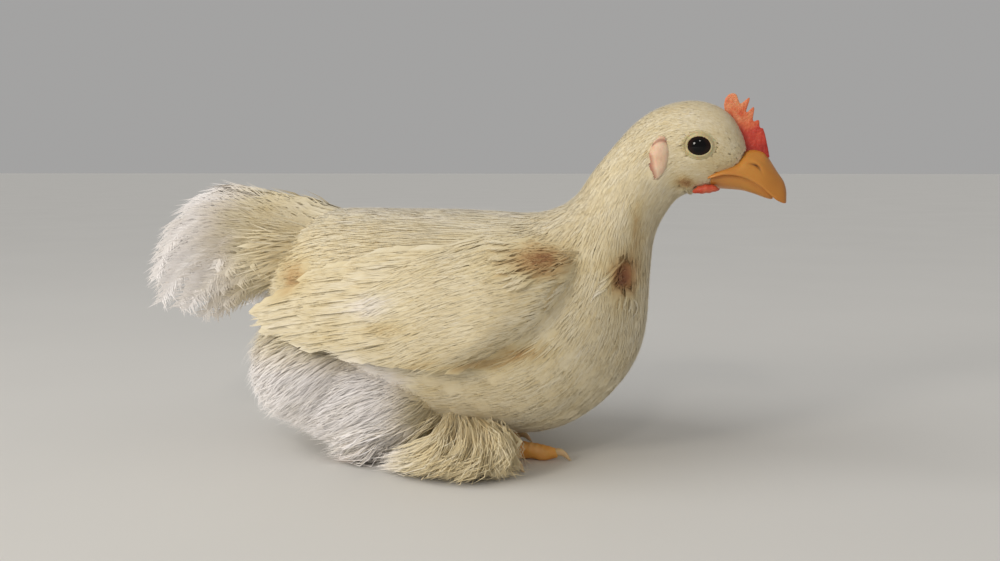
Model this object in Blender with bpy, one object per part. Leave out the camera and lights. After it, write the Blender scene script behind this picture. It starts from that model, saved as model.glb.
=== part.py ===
# Pekin bantam pullet squatting on its hocks, life size. Metres, +Z up, the bird faces +X.
# The origin is on the floor under the middle of the bird. The right side is at -Y.
import math
import random

import bmesh
import bpy
from mathutils import Matrix, Vector

# Clearances and resolution
GAP = 0.0003  # space kept between nodes that touch
TRUNK_SIDES = 20  # corners of each ring round the trunk
TRUNK_STEPS = 2  # rings made for each trunk station
SEED = 7

# Trunk stations from rump to face: x, z, tilt in degrees, half width, height above, depth below
TORSO_ROWS = (
    (-0.068, 0.060, -6, 0.008, 0.008, 0.010),
    (-0.062, 0.058, -4, 0.019, 0.019, 0.021),
    (-0.052, 0.056, -2, 0.027, 0.027, 0.029),
    (-0.040, 0.053, 0, 0.033, 0.031, 0.034),
    (-0.024, 0.050, 0, 0.038, 0.034, 0.037),
    (-0.006, 0.0475, 0, 0.040, 0.0365, 0.0385),
    (0.011, 0.046, 2, 0.040, 0.0375, 0.0380),
    (0.025, 0.047, 9, 0.038, 0.0365, 0.0380),
    (0.036, 0.0505, 20, 0.0345, 0.0345, 0.0335),
    (0.045, 0.058, 35, 0.029, 0.031, 0.026),
)
NECK_ROWS = (
    (0.0505, 0.069, 48, 0.0235, 0.024, 0.0165),
    (0.0535, 0.0785, 54, 0.0185, 0.018, 0.0125),
    (0.057, 0.087, 52, 0.0155, 0.016, 0.0115),
)
HEAD_ROWS = (
    (0.062, 0.0955, 48, 0.0138, 0.0145, 0.012),
    (0.0675, 0.1015, 33, 0.0130, 0.0146, 0.0140),
    (0.073, 0.104, 12, 0.0130, 0.0150, 0.0148),
    (0.079, 0.1045, -3, 0.0126, 0.0145, 0.0142),
    (0.085, 0.103, -12, 0.0108, 0.0125, 0.0118),
    (0.0895, 0.101, -22, 0.0078, 0.0075, 0.0078),
    (0.092, 0.0995, -26, 0.0040, 0.0040, 0.0040),
)

# Eye, lids, ear lobe and wattle
EYE_AT = Vector((0.0793, -0.0078, 0.1048))
EYE_RADIUS = 0.0056
LID_OPENING = 0.0034  # radius of the opening between the lids
LID_ROLL = 0.0012  # radius of their round rim
LID_SEGMENTS, LID_ROLL_SEGMENTS = 14, 5
LOBE_AT = Vector((0.0668, -0.0130, 0.1010))
LOBE_SIZE = Vector((0.0030, 0.0018, 0.0068))  # half sizes
LOBE_LEAN = 10  # degrees, top forward
WATTLE_AT = Vector((0.0809, -0.0062, 0.0913))
WATTLE_SIZE = Vector((0.0043, 0.0017, 0.0020))

# Bill stations: x, lower edge, upper edge, half width
UPPER_BILL_ROWS = (
    (0.0825, 0.0948, 0.0972, 0.0070),
    (0.0870, 0.0960, 0.1008, 0.0079),
    (0.0905, 0.0955, 0.1032, 0.0076),
    (0.0945, 0.0942, 0.1040, 0.0068),
    (0.0985, 0.0921, 0.1034, 0.0056),
    (0.1008, 0.0903, 0.1003, 0.0046),
    (0.1030, 0.0885, 0.0967, 0.0034),
    (0.1050, 0.0870, 0.0935, 0.0022),
    (0.1060, 0.0863, 0.0900, 0.0010),
)
LOWER_BILL_ROWS = (
    (0.0825, 0.0912, 0.0945, 0.0066),
    (0.0870, 0.0913, 0.0957, 0.0060),
    (0.0920, 0.0909, 0.0947, 0.0050),
    (0.0960, 0.0898, 0.0934, 0.0040),
    (0.0995, 0.0884, 0.0912, 0.0028),
    (0.1020, 0.0872, 0.0893, 0.0016),
    (0.1030, 0.0869, 0.0884, 0.0009),
)
BILL_SIDES = 12
BILL_FLAT_INSET = 0.86  # the flat face is this much narrower, so that it doesn't fold on itself
NOSTRIL_AT = Vector((0.0966, -0.0057, 0.0986))
NOSTRIL_SIZE = Vector((0.0016, 0.0012, 0.0006))
NOSTRIL_SLANT = 25  # degrees

# Single comb outline in the plane of symmetry, x and z, from its back foot round to its front foot
COMB_OUTLINE = (
    (0.0855, 0.1120), (0.0861, 0.1180), (0.0874, 0.1214), (0.0896, 0.1216), (0.0911, 0.1183),
    (0.0941, 0.1203), (0.0926, 0.1146), (0.0955, 0.1175), (0.0951, 0.1122), (0.0972, 0.1132),
    (0.0969, 0.1098), (0.0985, 0.1101), (0.0995, 0.1061), (0.1002, 0.1010), (0.0950, 0.1000),
    (0.0880, 0.1040),
)
COMB_THICKNESS = 0.0024
COMB_FOOT = Vector((0.091, 0, 0.103))
COMB_REACH = 0.022  # distance from the foot over which it thins from 1.1 to 0.1 of its thickness
COMB_THINNEST = 0.35

# Flank that the wing lies along: x and half width, with the height of its middle and its rise
FLANK_ROWS = (
    (-0.090, 0.0225), (-0.075, 0.0265), (-0.060, 0.0325), (-0.042, 0.0390), (-0.022, 0.0435),
    (0.000, 0.0455), (0.018, 0.0445), (0.032, 0.0405), (0.044, 0.0350), (0.052, 0.0300),
)
FLANK_MIDDLE, FLANK_RISE = 0.046, 0.042

# Wing: x, lowest z, highest z of its fleshy part
WING_ROWS = (
    (0.0390, 0.0560, 0.0660),
    (0.0350, 0.0485, 0.0715),
    (0.0285, 0.0430, 0.0745),
    (0.0190, 0.0390, 0.0765),
    (0.0070, 0.0370, 0.0765),
    (-0.0050, 0.0375, 0.0755),
    (-0.0180, 0.0420, 0.0725),
    (-0.0280, 0.0490, 0.0670),
)
WING_SWELL, WING_RIM = 0.0042, 0.0004  # how far its outer side stands out, at its middle and its edges
WING_RING_STEPS = 6
WING_ROLL = 13  # degrees, so that each feather's lower edge lies over the next feather
WING_FEATHER_THICKNESS = 0.0011
WING_SINK = 0.010  # how far its inner side starts inside the flank, before the torso is cut from it
# Tiers of wing feathers, flight feathers first, then greater and median coverts. Each has a count, first
# and last root, first and last tip, tip of the middle one, width, and how far the first and the last
# lie out from the flank
WING_TIERS = (
    dict(
        count=7, roots=((-0.006, 0.067), (0.016, 0.043)),
        tips=((-0.064, 0.051), (-0.066, 0.0415), (-0.006, 0.0355)), width=0.0100, lift=(0.0024, 0.0018),
    ),
    dict(
        count=6, roots=((0.008, 0.070), (0.028, 0.046)),
        tips=((-0.040, 0.064), (-0.034, 0.0500), (0.004, 0.0395)), width=0.0098, lift=(0.0042, 0.0034),
    ),
    dict(
        count=5, roots=((0.024, 0.0715), (0.036, 0.050)),
        tips=((-0.014, 0.0705), (-0.008, 0.0560), (0.018, 0.0435)), width=0.0096, lift=(0.0056, 0.0048),
    ),
)
WING_FEATHER_STOPS, WING_FEATHER_SHARES = (0.0, 0.45, 0.84, 1.0), (0.65, 1.0, 0.85)
WING_FEATHER_ARCH = 0.0025

# Tail: a short fleshy root, then soft plumes that arch over and droop
TAIL_ROWS = (
    (-0.046, 0.071, 0.015, 0.013),
    (-0.060, 0.073, 0.019, 0.015),
    (-0.074, 0.073, 0.018, 0.014),
    (-0.086, 0.071, 0.010, 0.008),
)
TAIL_SIDES = 12
# Where plumes bend and end, by how far round the tail's axis they grow: degrees from the top, bend, tip
PLUME_ROWS = (
    (0, (-0.104, 0.108), (-0.1140, 0.0680)),
    (40, (-0.109, 0.094), (-0.1190, 0.0570)),
    (80, (-0.103, 0.079), (-0.1150, 0.0440)),
    (120, (-0.088, 0.060), (-0.1000, 0.0405)),
)
# Layers of plumes: count, degrees to each side, share of the full reach, width, x of the roots
PLUME_LAYERS = ((9, 117, 1.0, 0.0172, -0.066), (6, 85, 0.64, 0.0172, -0.055))
PLUME_ROOT_HEIGHT, PLUME_ROOT_SPREAD, PLUME_ROOT_RISE = 0.0725, 0.0140, 0.0112
PLUME_TIP_SPREAD = 0.024
PLUME_THICKNESS = 0.0013
PLUME_ROLL = 9  # degrees
PLUME_STOPS, PLUME_SHARES = (0.0, 0.3, 0.58, 0.84, 1.0), (0.55, 0.95, 1.0, 0.75)
PLUME_BEND_SPREAD = 0.018
PLUME_SCATTER = 0.002

# Fluff under the tail and on the thighs: centre and half sizes of each core
ABDOMEN_AT, ABDOMEN_SIZE = Vector((-0.053, 0.0, 0.0285)), Vector((0.026, 0.031, 0.024))
THIGH_AT, THIGH_SIZE = Vector((-0.024, -0.027, 0.0225)), Vector((0.025, 0.0125, 0.0170))
# Rows of locks over each core: level, first and last heading in degrees, count, length, width
ABDOMEN_LOCKS = (
    (38, -90, 90, 5, 0.023, 0.0175),
    (10, -90, 90, 6, 0.021, 0.0165),
    (-16, -90, 90, 6, 0.021, 0.0165),
    (-40, -80, 80, 4, 0.019, 0.0165),
)
THIGH_LOCKS = (
    (30, 60, 150, 3, 0.020, 0.0145),
    (2, 50, 150, 4, 0.019, 0.0135),
    (-28, 50, 145, 4, 0.016, 0.0125),
)
ABDOMEN_LIE, THIGH_LIE = Vector((-1, 0, -0.35)), Vector((-0.75, -0.1, -0.75))
LOCK_THICKNESS, LOCK_SINK = 0.0022, 0.003
LOCK_LIFT, LOCK_DROOP = 0.28, 0.25  # as shares of a lock's length
LOCK_STOPS, LOCK_SHARES = (0.0, 0.4, 0.75, 1.0), (0.75, 1.0, 0.7)
LOCK_SCATTER = 3  # degrees
FLOOR_CLEARANCE = 0.0007  # fluff and muffs stay this far above the floor

# Leg: hock, root of the toes, and thickness
HOCK_AT, TOE_ROOT_AT = Vector((-0.032, -0.0235, 0.0042)), Vector((0.0, -0.0110, 0.0046))
SHANK_RADIUS = 0.0044
# Shank stations: how far from the hock to the toes, and share of the radius
SHANK_ROWS = ((-0.14, 0.45), (-0.07, 0.85), (0.03, 1.0), (0.3, 0.82), (0.7, 0.82), (1.0, 1.05), (1.1, 0.8))
FOOT_AT = Vector((0.0055, -0.0095, 0.0))  # the middle of the foot, on the floor
BALL_SIZE = Vector((0.0055, 0.0055, 0.0040))
# Toes: heading in degrees from +X towards the midline, length, root radius
TOES = {
    "middle": (3, 0.0290, 0.0032),
    "inner": (35, 0.0155, 0.0025),
    "outer": (-35, 0.0215, 0.0027),
    "back": (128, 0.0105, 0.0023),
}
TOE_RINGS = 6
TOE_TAPER, TOE_PAD, TOE_SLOPE = 0.22, 0.08, 0.0016
CLAW_LENGTH, CLAW_RADIUS, CLAW_DROP = 0.0056, 0.0014, 0.0028
CLAW_ROWS = ((0, 1.0), (0.35, 0.85), (0.7, 0.55), (1.0, 0.16))  # how far along, and share of the radius
# Foot muff: feathers that fall outward and back from the shank and the outer toe
MUFF_COUNT = 9
MUFF_LENGTH, MUFF_ARCH, MUFF_WIDTH, MUFF_THICKNESS = 0.0270, 0.024, 0.0088, 0.0011
MUFF_FIRST, MUFF_LAST = 0.25, 1.05  # where its roots start and end along the shank
MUFF_HEADINGS = (118, 36)  # degrees out from +X, at the hock end and at the toes
MUFF_ROOT = Vector((0, -0.0012, 0.0010))
MUFF_STOPS, MUFF_SHARES = (0.0, 0.3, 0.6, 0.86, 1.0), (0.6, 1.0, 1.0, 0.7)
# The left leg is drawn back and out, and its thigh part of the way
FAR_LEG_SHIFT, FAR_THIGH_SHIFT = Vector((-0.018, 0.004, 0)), Vector((-0.009, 0.003, 0))

COLOURS = {
    "plumage_cream": ((0.72, 0.64, 0.46), 0.9),
    "plumage_white": ((0.80, 0.76, 0.72), 0.9),
    "face_skin": ((0.66, 0.56, 0.42), 0.6),
    "comb_red": ((0.70, 0.16, 0.10), 0.5),
    "lobe_pink": ((0.74, 0.52, 0.42), 0.6),
    "bill_horn": ((0.70, 0.38, 0.10), 0.45),
    "foot_scales": ((0.78, 0.42, 0.14), 0.5),
    "claw_horn": ((0.78, 0.66, 0.48), 0.4),
    "eye": ((0.02, 0.01, 0.01), 0.1),
}


def clear_scene():
    for old in list(bpy.data.objects):
        bpy.data.objects.remove(old, do_unlink=True)


def new_collection(name, shown=True):
    made = bpy.data.collections.new(name)
    made.hide_render = not shown
    bpy.context.scene.collection.children.link(made)
    return made


def new_material(name):
    colour, roughness = COLOURS[name]
    made = bpy.data.materials.new(name)
    made.use_nodes = True
    shader = made.node_tree.nodes["Principled BSDF"]
    shader.inputs["Base Color"].default_value = (*colour, 1)
    shader.inputs["Roughness"].default_value = roughness
    shader.inputs["Metallic"].default_value = 0
    return made


def object_of(name, shape, material=None, collection=None):
    """An object from a bmesh, with its faces turned outwards."""
    bmesh.ops.recalc_face_normals(shape, faces=shape.faces)
    mesh = bpy.data.meshes.new(name)
    shape.to_mesh(mesh)
    shape.free()
    made = bpy.data.objects.new(name, mesh)
    (collection or PARTS).objects.link(made)
    if material:
        mesh.materials.append(MATERIALS[material])
    return made


def catmull_rom(before, start, end, after, t):
    pull = 2 * before - 5 * start + 4 * end - after
    bend = 3 * start - before - 3 * end + after
    return 0.5 * (2 * start + (end - before) * t + pull * t * t + bend * t ** 3)


def spline_rows(rows, steps):
    """Rows of numbers made smoother: each gap between two rows is filled along a Catmull-Rom curve."""
    filled = []
    last = len(rows) - 1
    for i in range(last):
        before, start, end, after = rows[max(i - 1, 0)], rows[i], rows[i + 1], rows[min(i + 2, last)]
        for k in range(steps):
            filled.append(tuple(catmull_rom(*values, k / steps) for values in zip(before, start, end, after)))
    filled.append(tuple(rows[-1]))
    return filled


def between(rows, x):
    """The value in the second column of rows at x, along straight lines."""
    for (x0, y0), (x1, y1) in zip(rows, rows[1:]):
        if x <= x1:
            t = max(0.0, (x - x0) / (x1 - x0))
            return y0 + (y1 - y0) * t
    return rows[-1][1]


def curve_point(start, bend, end, t):
    """A point of the quadratic curve from start to end, pulled towards bend."""
    return start * (1 - t) ** 2 + bend * (2 * t * (1 - t)) + end * t * t


def loft(name, rings, material=None, collection=None):
    """A closed solid through rings of points, each with the same count."""
    shape = bmesh.new()
    layers = [[shape.verts.new(point) for point in ring] for ring in rings]
    count = len(layers[0])
    for low, high in zip(layers, layers[1:]):
        for i in range(count):
            j = (i + 1) % count
            shape.faces.new((low[i], low[j], high[j], high[i]))
    shape.faces.new(layers[0])
    shape.faces.new(layers[-1])
    bmesh.ops.triangulate(shape, faces=shape.faces)
    return object_of(name, shape, material, collection)


def oval_ring(centre, side, rise, half_width, up, down, count):
    points = []
    for i in range(count):
        angle = 2 * math.pi * i / count
        height = math.sin(angle) * (up if math.sin(angle) > 0 else down)
        points.append(centre + side * (math.cos(angle) * half_width) + rise * height)
    return points


def trunk_ring(row, push=0.0):
    """The ring of one trunk station, pushed along the trunk by push."""
    x, z, tilt, half_width, up, down = row
    turn = math.radians(tilt)
    rise = Vector((-math.sin(turn), 0, math.cos(turn)))
    along = Vector((math.cos(turn), 0, math.sin(turn)))
    centre = Vector((x, 0, z)) + along * push
    return oval_ring(centre, Vector((0, 1, 0)), rise, half_width, up, down, TRUNK_SIDES)


def blob(name, centre, size, turn=0.0, material=None, collection=None, rings=8, sides=12):
    """An ellipsoid with half sizes size, turned in the plane of symmetry."""
    shape = bmesh.new()
    turned = Matrix.Rotation(math.radians(turn), 4, "Y")
    place = Matrix.Translation(centre) @ turned @ Matrix.Diagonal((*size, 1))
    bmesh.ops.create_uvsphere(shape, u_segments=sides, v_segments=rings, radius=1, matrix=place)
    bmesh.ops.triangulate(shape, faces=shape.faces)
    return object_of(name, shape, material, collection)


def blade(path, sides, widths, thickness, collection):
    """A feather or lock: a flat lozenge swept along path. sides holds the direction across it at each point.
    Both faces are split into the same triangles, so that a bent blade doesn't cross itself."""
    shape = bmesh.new()
    rings = []
    for i, (point, side, width) in enumerate(zip(path[:-1], sides, widths)):
        ahead = (path[i + 1] - path[max(i - 1, 0)]).normalized()
        side = (side - ahead * side.dot(ahead)).normalized()
        rise = ahead.cross(side)
        half, deep = side * (width / 2), rise * (thickness / 2)
        rings.append([shape.verts.new(p) for p in (point + half, point + deep, point - half, point - deep)])
    for (l0, t0, r0, b0), (l1, t1, r1, b1) in zip(rings, rings[1:]):
        quarters = ((l0, l1, t0, t1), (l0, l1, b0, b1), (r0, r1, t0, t1), (r0, r1, b0, b1))
        for edge0, edge1, face0, face1 in quarters:
            shape.faces.new((edge0, face0, face1))
            shape.faces.new((edge0, face1, edge1))
    tip = shape.verts.new(path[-1])
    last = rings[-1]
    for i in range(4):
        shape.faces.new((last[i], last[(i + 1) % 4], tip))
    root = rings[0]
    shape.faces.new((root[0], root[1], root[3]))
    shape.faces.new((root[1], root[2], root[3]))
    return object_of("blade", shape, None, collection)


def select_only(obj):
    bpy.ops.object.select_all(action="DESELECT")
    obj.select_set(True)
    bpy.context.view_layer.objects.active = obj


def apply_boolean(obj, operation, solver="EXACT", other=None, collection=None):
    modifier = obj.modifiers.new("join", "BOOLEAN")
    modifier.operation = operation
    modifier.solver = solver
    if collection:
        modifier.operand_type = "COLLECTION"
        modifier.collection = collection
    else:
        modifier.object = other
    select_only(obj)
    bpy.ops.object.modifier_apply(modifier=modifier.name)


def keep_largest(obj):
    """Leaves only the largest closed surface of obj."""
    shape = bmesh.new()
    shape.from_mesh(obj.data)
    bmesh.ops.remove_doubles(shape, verts=shape.verts, dist=1e-7)
    left, pieces = set(shape.verts), []
    while left:
        piece, edge = set(), [left.pop()]
        while edge:
            vert = edge.pop()
            piece.add(vert)
            for link in vert.link_edges:
                other = link.other_vert(vert)
                if other in left:
                    left.discard(other)
                    edge.append(other)
        pieces.append(piece)
    pieces.sort(key=len)
    loose = [vert for piece in pieces[:-1] for vert in piece]
    bmesh.ops.delete(shape, geom=loose, context="VERTS")
    bmesh.ops.triangulate(shape, faces=shape.faces)
    shape.to_mesh(obj.data)
    shape.free()


def fuse(core, pieces, solver="EXACT"):
    """Joins a node's feathers, locks or toes to its core, and removes them."""
    apply_boolean(core, "UNION", solver, collection=pieces)
    for piece in list(pieces.objects):
        bpy.data.objects.remove(piece, do_unlink=True)
    keep_largest(core)


def inflated(obj, by=GAP):
    """A hidden copy of obj, grown outwards, to cut its neighbours with."""
    made = obj.copy()
    made.data = obj.data.copy()
    made.name = obj.name + "_grown"
    CUTTERS.objects.link(made)
    made.hide_render = True
    made.display_type = "WIRE"
    shape = bmesh.new()
    shape.from_mesh(made.data)
    shape.normal_update()
    moves = [(vert, vert.normal * by) for vert in shape.verts]
    for vert, move in moves:
        vert.co += move
    shape.to_mesh(made.data)
    shape.free()
    return made


def wrapped(obj, by=GAP):
    """A hidden convex wrap of obj, grown outwards."""
    shape = bmesh.new()
    points = [shape.verts.new(vert.co) for vert in obj.data.vertices]
    bmesh.ops.convex_hull(shape, input=points)
    bmesh.ops.delete(shape, geom=[vert for vert in shape.verts if not vert.link_faces], context="VERTS")
    bmesh.ops.triangulate(shape, faces=shape.faces)
    return inflated(object_of(obj.name + "_wrap", shape, None, CUTTERS), by)


def cut(obj, *cutters, solver="EXACT"):
    for cutter in cutters:
        apply_boolean(obj, "DIFFERENCE", solver, other=cutter)
    keep_largest(obj)


def mirrored(obj, name, shift=Vector((0, 0, 0))):
    """The left-hand twin of a right-hand node, moved by shift."""
    made = obj.copy()
    made.data = obj.data.copy()
    made.name = name
    PARTS.objects.link(made)
    made.data.transform(Matrix.Translation(shift) @ Matrix.Scale(-1, 4, Vector((0, 1, 0))))
    made.data.flip_normals()
    return made


# Trunk


def make_trunk():
    """Torso, neck and head: one form, parted by thin cuts across the neck."""
    rows = spline_rows(TORSO_ROWS + NECK_ROWS + HEAD_ROWS, TRUNK_STEPS)
    neck_start = TRUNK_STEPS * len(TORSO_ROWS)
    head_start = TRUNK_STEPS * (len(TORSO_ROWS) + len(NECK_ROWS))
    torso = loft("torso", [trunk_ring(row) for row in rows[:neck_start + 1]], "plumage_cream")
    neck_rings = [trunk_ring(row) for row in rows[neck_start:head_start + 1]]
    neck_rings[0] = trunk_ring(rows[neck_start], GAP)
    neck = loft("neck", neck_rings, "plumage_cream")
    head_rings = [trunk_ring(row) for row in rows[head_start:]]
    head_rings[0] = trunk_ring(rows[head_start], GAP)
    head = loft("head", head_rings, "plumage_cream")
    return torso, neck, head


# Head


def ring_of_lid(side):
    """A thick round rim that stands round the eye."""
    bpy.ops.mesh.primitive_torus_add(
        major_radius=LID_OPENING + LID_ROLL, minor_radius=LID_ROLL,
        major_segments=LID_SEGMENTS, minor_segments=LID_ROLL_SEGMENTS,
    )
    made = bpy.context.object
    rim_depth = math.sqrt(EYE_RADIUS ** 2 - LID_OPENING ** 2)
    centre = Vector((EYE_AT.x, side * (abs(EYE_AT.y) + rim_depth), EYE_AT.z))
    made.data.transform(Matrix.Translation(centre) @ Matrix.Rotation(math.radians(90), 4, "X"))
    for collection in list(made.users_collection):
        collection.objects.unlink(made)
    return made


def eyeball(name, side, radius, collection=None, material=None):
    centre = Vector((EYE_AT.x, side * abs(EYE_AT.y), EYE_AT.z))
    return blob(name, centre, Vector((radius, radius, radius)), 0, material, collection)


def make_head_parts(head, neck):
    lids = new_collection("lids")
    for side in (-1, 1):
        lids.objects.link(ring_of_lid(side))
    fuse(head, lids)
    for side in (-1, 1):
        cut(head, eyeball("socket", side, EYE_RADIUS + GAP, CUTTERS))
    head_grown = inflated(head)
    neck_grown = inflated(neck)

    eye = eyeball("eye_right", -1, EYE_RADIUS, material="eye")
    mirrored(eye, "eye_left")

    lobe = blob("earlobe_right", LOBE_AT, LOBE_SIZE, LOBE_LEAN, "lobe_pink", rings=6, sides=10)
    cut(lobe, head_grown, neck_grown)
    mirrored(lobe, "earlobe_left")

    lower = loft("bill_lower", [bill_ring(*row, flat_top=True) for row in LOWER_BILL_ROWS], "bill_horn")
    cut(lower, head_grown)
    upper = loft("bill_upper", [bill_ring(*row) for row in UPPER_BILL_ROWS], "bill_horn")
    for side in (-1, 1):
        at = Vector((NOSTRIL_AT.x, side * abs(NOSTRIL_AT.y), NOSTRIL_AT.z))
        cut(upper, blob("nostril", at, NOSTRIL_SIZE, NOSTRIL_SLANT, None, CUTTERS, rings=6, sides=8))
    cut(upper, head_grown, inflated(lower))

    comb = make_comb()
    cut(comb, head_grown, inflated(upper))

    wattle = blob("wattle_right", WATTLE_AT, WATTLE_SIZE, 6, "comb_red", rings=6, sides=8)
    cut(wattle, head_grown, inflated(lower), inflated(upper))
    mirrored(wattle, "wattle_left")


def bill_ring(x, low, high, half_width, flat_top=False):
    """A ring with one flat face, where the two halves of the bill meet, and one round face."""
    points = []
    for i in range(BILL_SIDES):
        angle = 2 * math.pi * i / BILL_SIDES
        y, lift = math.cos(angle) * half_width, math.sin(angle)
        if flat_top:
            z = high - (high - low) * max(0.0, -lift)
        else:
            z = low + (high - low) * max(0.0, lift)
        if (lift > 0.05) == flat_top and abs(lift) > 0.05:
            y *= BILL_FLAT_INSET
        points.append(Vector((x, y, z)))
    return points


def make_comb():
    curve = bpy.data.curves.new("comb_outline", "CURVE")
    curve.dimensions = "2D"
    curve.fill_mode = "BOTH"
    curve.extrude = COMB_THICKNESS / 2
    spline = curve.splines.new("POLY")
    spline.points.add(len(COMB_OUTLINE) - 1)
    for point, (x, z) in zip(spline.points, COMB_OUTLINE):
        point.co = (x, z, 0, 1)
    spline.use_cyclic_u = True
    flat = bpy.data.objects.new("comb_outline", curve)
    PARTS.objects.link(flat)
    bpy.context.view_layer.update()
    mesh = bpy.data.meshes.new_from_object(flat.evaluated_get(bpy.context.evaluated_depsgraph_get()))
    bpy.data.objects.remove(flat, do_unlink=True)
    shape = bmesh.new()
    shape.from_mesh(mesh)
    bmesh.ops.remove_doubles(shape, verts=shape.verts, dist=1e-6)
    shape.transform(Matrix.Rotation(math.radians(90), 4, "X"))
    for vert in shape.verts:  # the blade thins from its foot to its points
        reach = (Vector((vert.co.x, 0, vert.co.z)) - COMB_FOOT).length
        vert.co.y *= max(COMB_THINNEST, 1.1 - reach / COMB_REACH)
    bmesh.ops.triangulate(shape, faces=shape.faces)
    return object_of("comb", shape, "comb_red")


# Wings


def flank_point(x, z, out):
    """A point out from the bird's right flank."""
    rise = max(-0.98, min(0.98, (z - FLANK_MIDDLE) / FLANK_RISE))
    half = between(FLANK_ROWS, x) * math.sqrt(1 - rise * rise)
    return Vector((x, -(half + out), z))


def flank_out(x, z):
    """The outward direction of the flank."""
    step = 0.002
    along = flank_point(x + step, z, 0) - flank_point(x - step, z, 0)
    up = flank_point(x, z + step, 0) - flank_point(x, z - step, 0)
    return along.cross(up).normalized()


def tiled(side, out, roll):
    """The direction across a feather, rolled so that its side edge stands out over the next feather."""
    return side * math.cos(math.radians(roll)) + out * math.sin(math.radians(roll))


def wing_feather(root, tip, width, lift, collection):
    """One feather that follows the flank, its root sunk in the wing."""
    bend = (root + tip) / 2 + Vector((0, WING_FEATHER_ARCH))
    flat = [curve_point(root, bend, tip, t) for t in WING_FEATHER_STOPS]
    lifts = [lift * (0.35 + 0.65 * min(1, 3 * t)) for t in WING_FEATHER_STOPS]
    path = [flank_point(p.x, p.y, out) for p, out in zip(flat, lifts)]
    sides = []
    for i, p in enumerate(flat[:-1]):
        out = flank_out(p.x, p.y)
        sides.append(tiled(out.cross(path[i + 1] - path[i]).normalized(), out, WING_ROLL))
    blade(path, sides, [width * share for share in WING_FEATHER_SHARES], WING_FEATHER_THICKNESS, collection)


def make_wing(torso_grown):
    rings = []
    for x, low, high in WING_ROWS:
        outer, inner = [], []
        for k in range(WING_RING_STEPS + 1):
            t = k / WING_RING_STEPS
            z = low + (high - low) * t
            swell = WING_SWELL * math.sin(math.pi * (0.12 + 0.76 * t)) + WING_RIM
            outer.append(flank_point(x, z, swell))
            inner.append(flank_point(x, z, -WING_SINK))
        rings.append(outer + inner[::-1])
    wing = loft("wing_right", rings, "plumage_cream")
    feathers = new_collection("wing_feathers")
    for tier in WING_TIERS:
        add_wing_tier(tier, feathers)
    fuse(wing, feathers)
    cut(wing, torso_grown)
    return wing


def add_wing_tier(tier, feathers):
    first, last = (Vector(root) for root in tier["roots"])
    top, middle, bottom = (Vector(tip) for tip in tier["tips"])
    bend = middle * 2 - (top + bottom) / 2
    for i in range(tier["count"]):
        t = i / (tier["count"] - 1)
        root = first.lerp(last, t)
        tip = curve_point(top, bend, bottom, t)
        lift = tier["lift"][0] + (tier["lift"][1] - tier["lift"][0]) * t
        wing_feather(root, tip, tier["width"], lift, feathers)


# Tail


def make_tail(torso_grown, wing_wraps):
    rings = []
    across, up = Vector((0, 1, 0)), Vector((0, 0, 1))
    for x, z, half_width, half_height in spline_rows(TAIL_ROWS, 2):
        centre = Vector((x, 0, z))
        rings.append(oval_ring(centre, across, up, half_width, half_height, half_height, TAIL_SIDES))
    tail = loft("tail", rings, "plumage_white")
    plumes = new_collection("plumes")
    for count, widest, reach, width, root_x in PLUME_LAYERS:
        for i in range(count):
            add_plume(widest * (2 * i / (count - 1) - 1), reach, width, root_x, plumes)
    fuse(tail, plumes)
    cut(tail, torso_grown, *wing_wraps)
    return tail


def plume_row(degrees):
    """Bend and tip, in the plane of symmetry, of a plume that grows this far from the top of the tail."""
    for (a, bend_a, tip_a), (b, bend_b, tip_b) in zip(PLUME_ROWS, PLUME_ROWS[1:]):
        if degrees <= b:
            t = (degrees - a) / (b - a)
            return Vector(bend_a).lerp(Vector(bend_b), t), Vector(tip_a).lerp(Vector(tip_b), t)
    return Vector(PLUME_ROWS[-1][1]), Vector(PLUME_ROWS[-1][2])


def add_plume(degrees, reach, width, root_x, plumes):
    """A soft tail plume: it rises, arches over and droops, and lies like a tile on the round of the tail."""
    turn = math.radians(degrees)
    bend_at, tip_at = plume_row(abs(degrees))
    root = Vector((
        root_x, PLUME_ROOT_SPREAD * math.sin(turn), PLUME_ROOT_HEIGHT + PLUME_ROOT_RISE * math.cos(turn)
    ))
    bend = Vector((bend_at.x, PLUME_BEND_SPREAD * math.sin(turn), bend_at.y))
    end = Vector((tip_at.x, PLUME_TIP_SPREAD * math.sin(turn), tip_at.y))
    end += Vector([RANDOM.uniform(-PLUME_SCATTER, PLUME_SCATTER) for _ in range(3)])
    bend = root.lerp(bend, reach)
    end = root.lerp(end, reach)
    path = [curve_point(root, bend, end, t) for t in PLUME_STOPS]
    out = Vector((0, math.sin(turn), math.cos(turn)))
    across = Vector((0, math.cos(turn), -math.sin(turn)))
    side = tiled(across, out, math.copysign(PLUME_ROLL, degrees) if degrees else 0)
    blade(path, [side] * len(path), [width * share for share in PLUME_SHARES], PLUME_THICKNESS, plumes)


# Fluff


def lock(root, out, lie, length, width, collection):
    """A tapered lock of fluff: it leaves the body along out, then lies along lie and droops."""
    fall = Vector((0, 0, -1))
    bend = root + (out * LOCK_LIFT + lie * 0.45) * length
    end = root + (out * (LOCK_LIFT * 0.55) + lie + fall * LOCK_DROOP) * length
    path = [curve_point(root, bend, end, t) for t in LOCK_STOPS]
    side = out.cross(lie).normalized()
    lowest = FLOOR_CLEARANCE + LOCK_THICKNESS / 2 + abs(side.z) * width / 2
    for point in path:
        point.z = max(point.z, lowest)
    blade(path, [side] * len(path), [width * share for share in LOCK_SHARES], LOCK_THICKNESS, collection)


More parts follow.
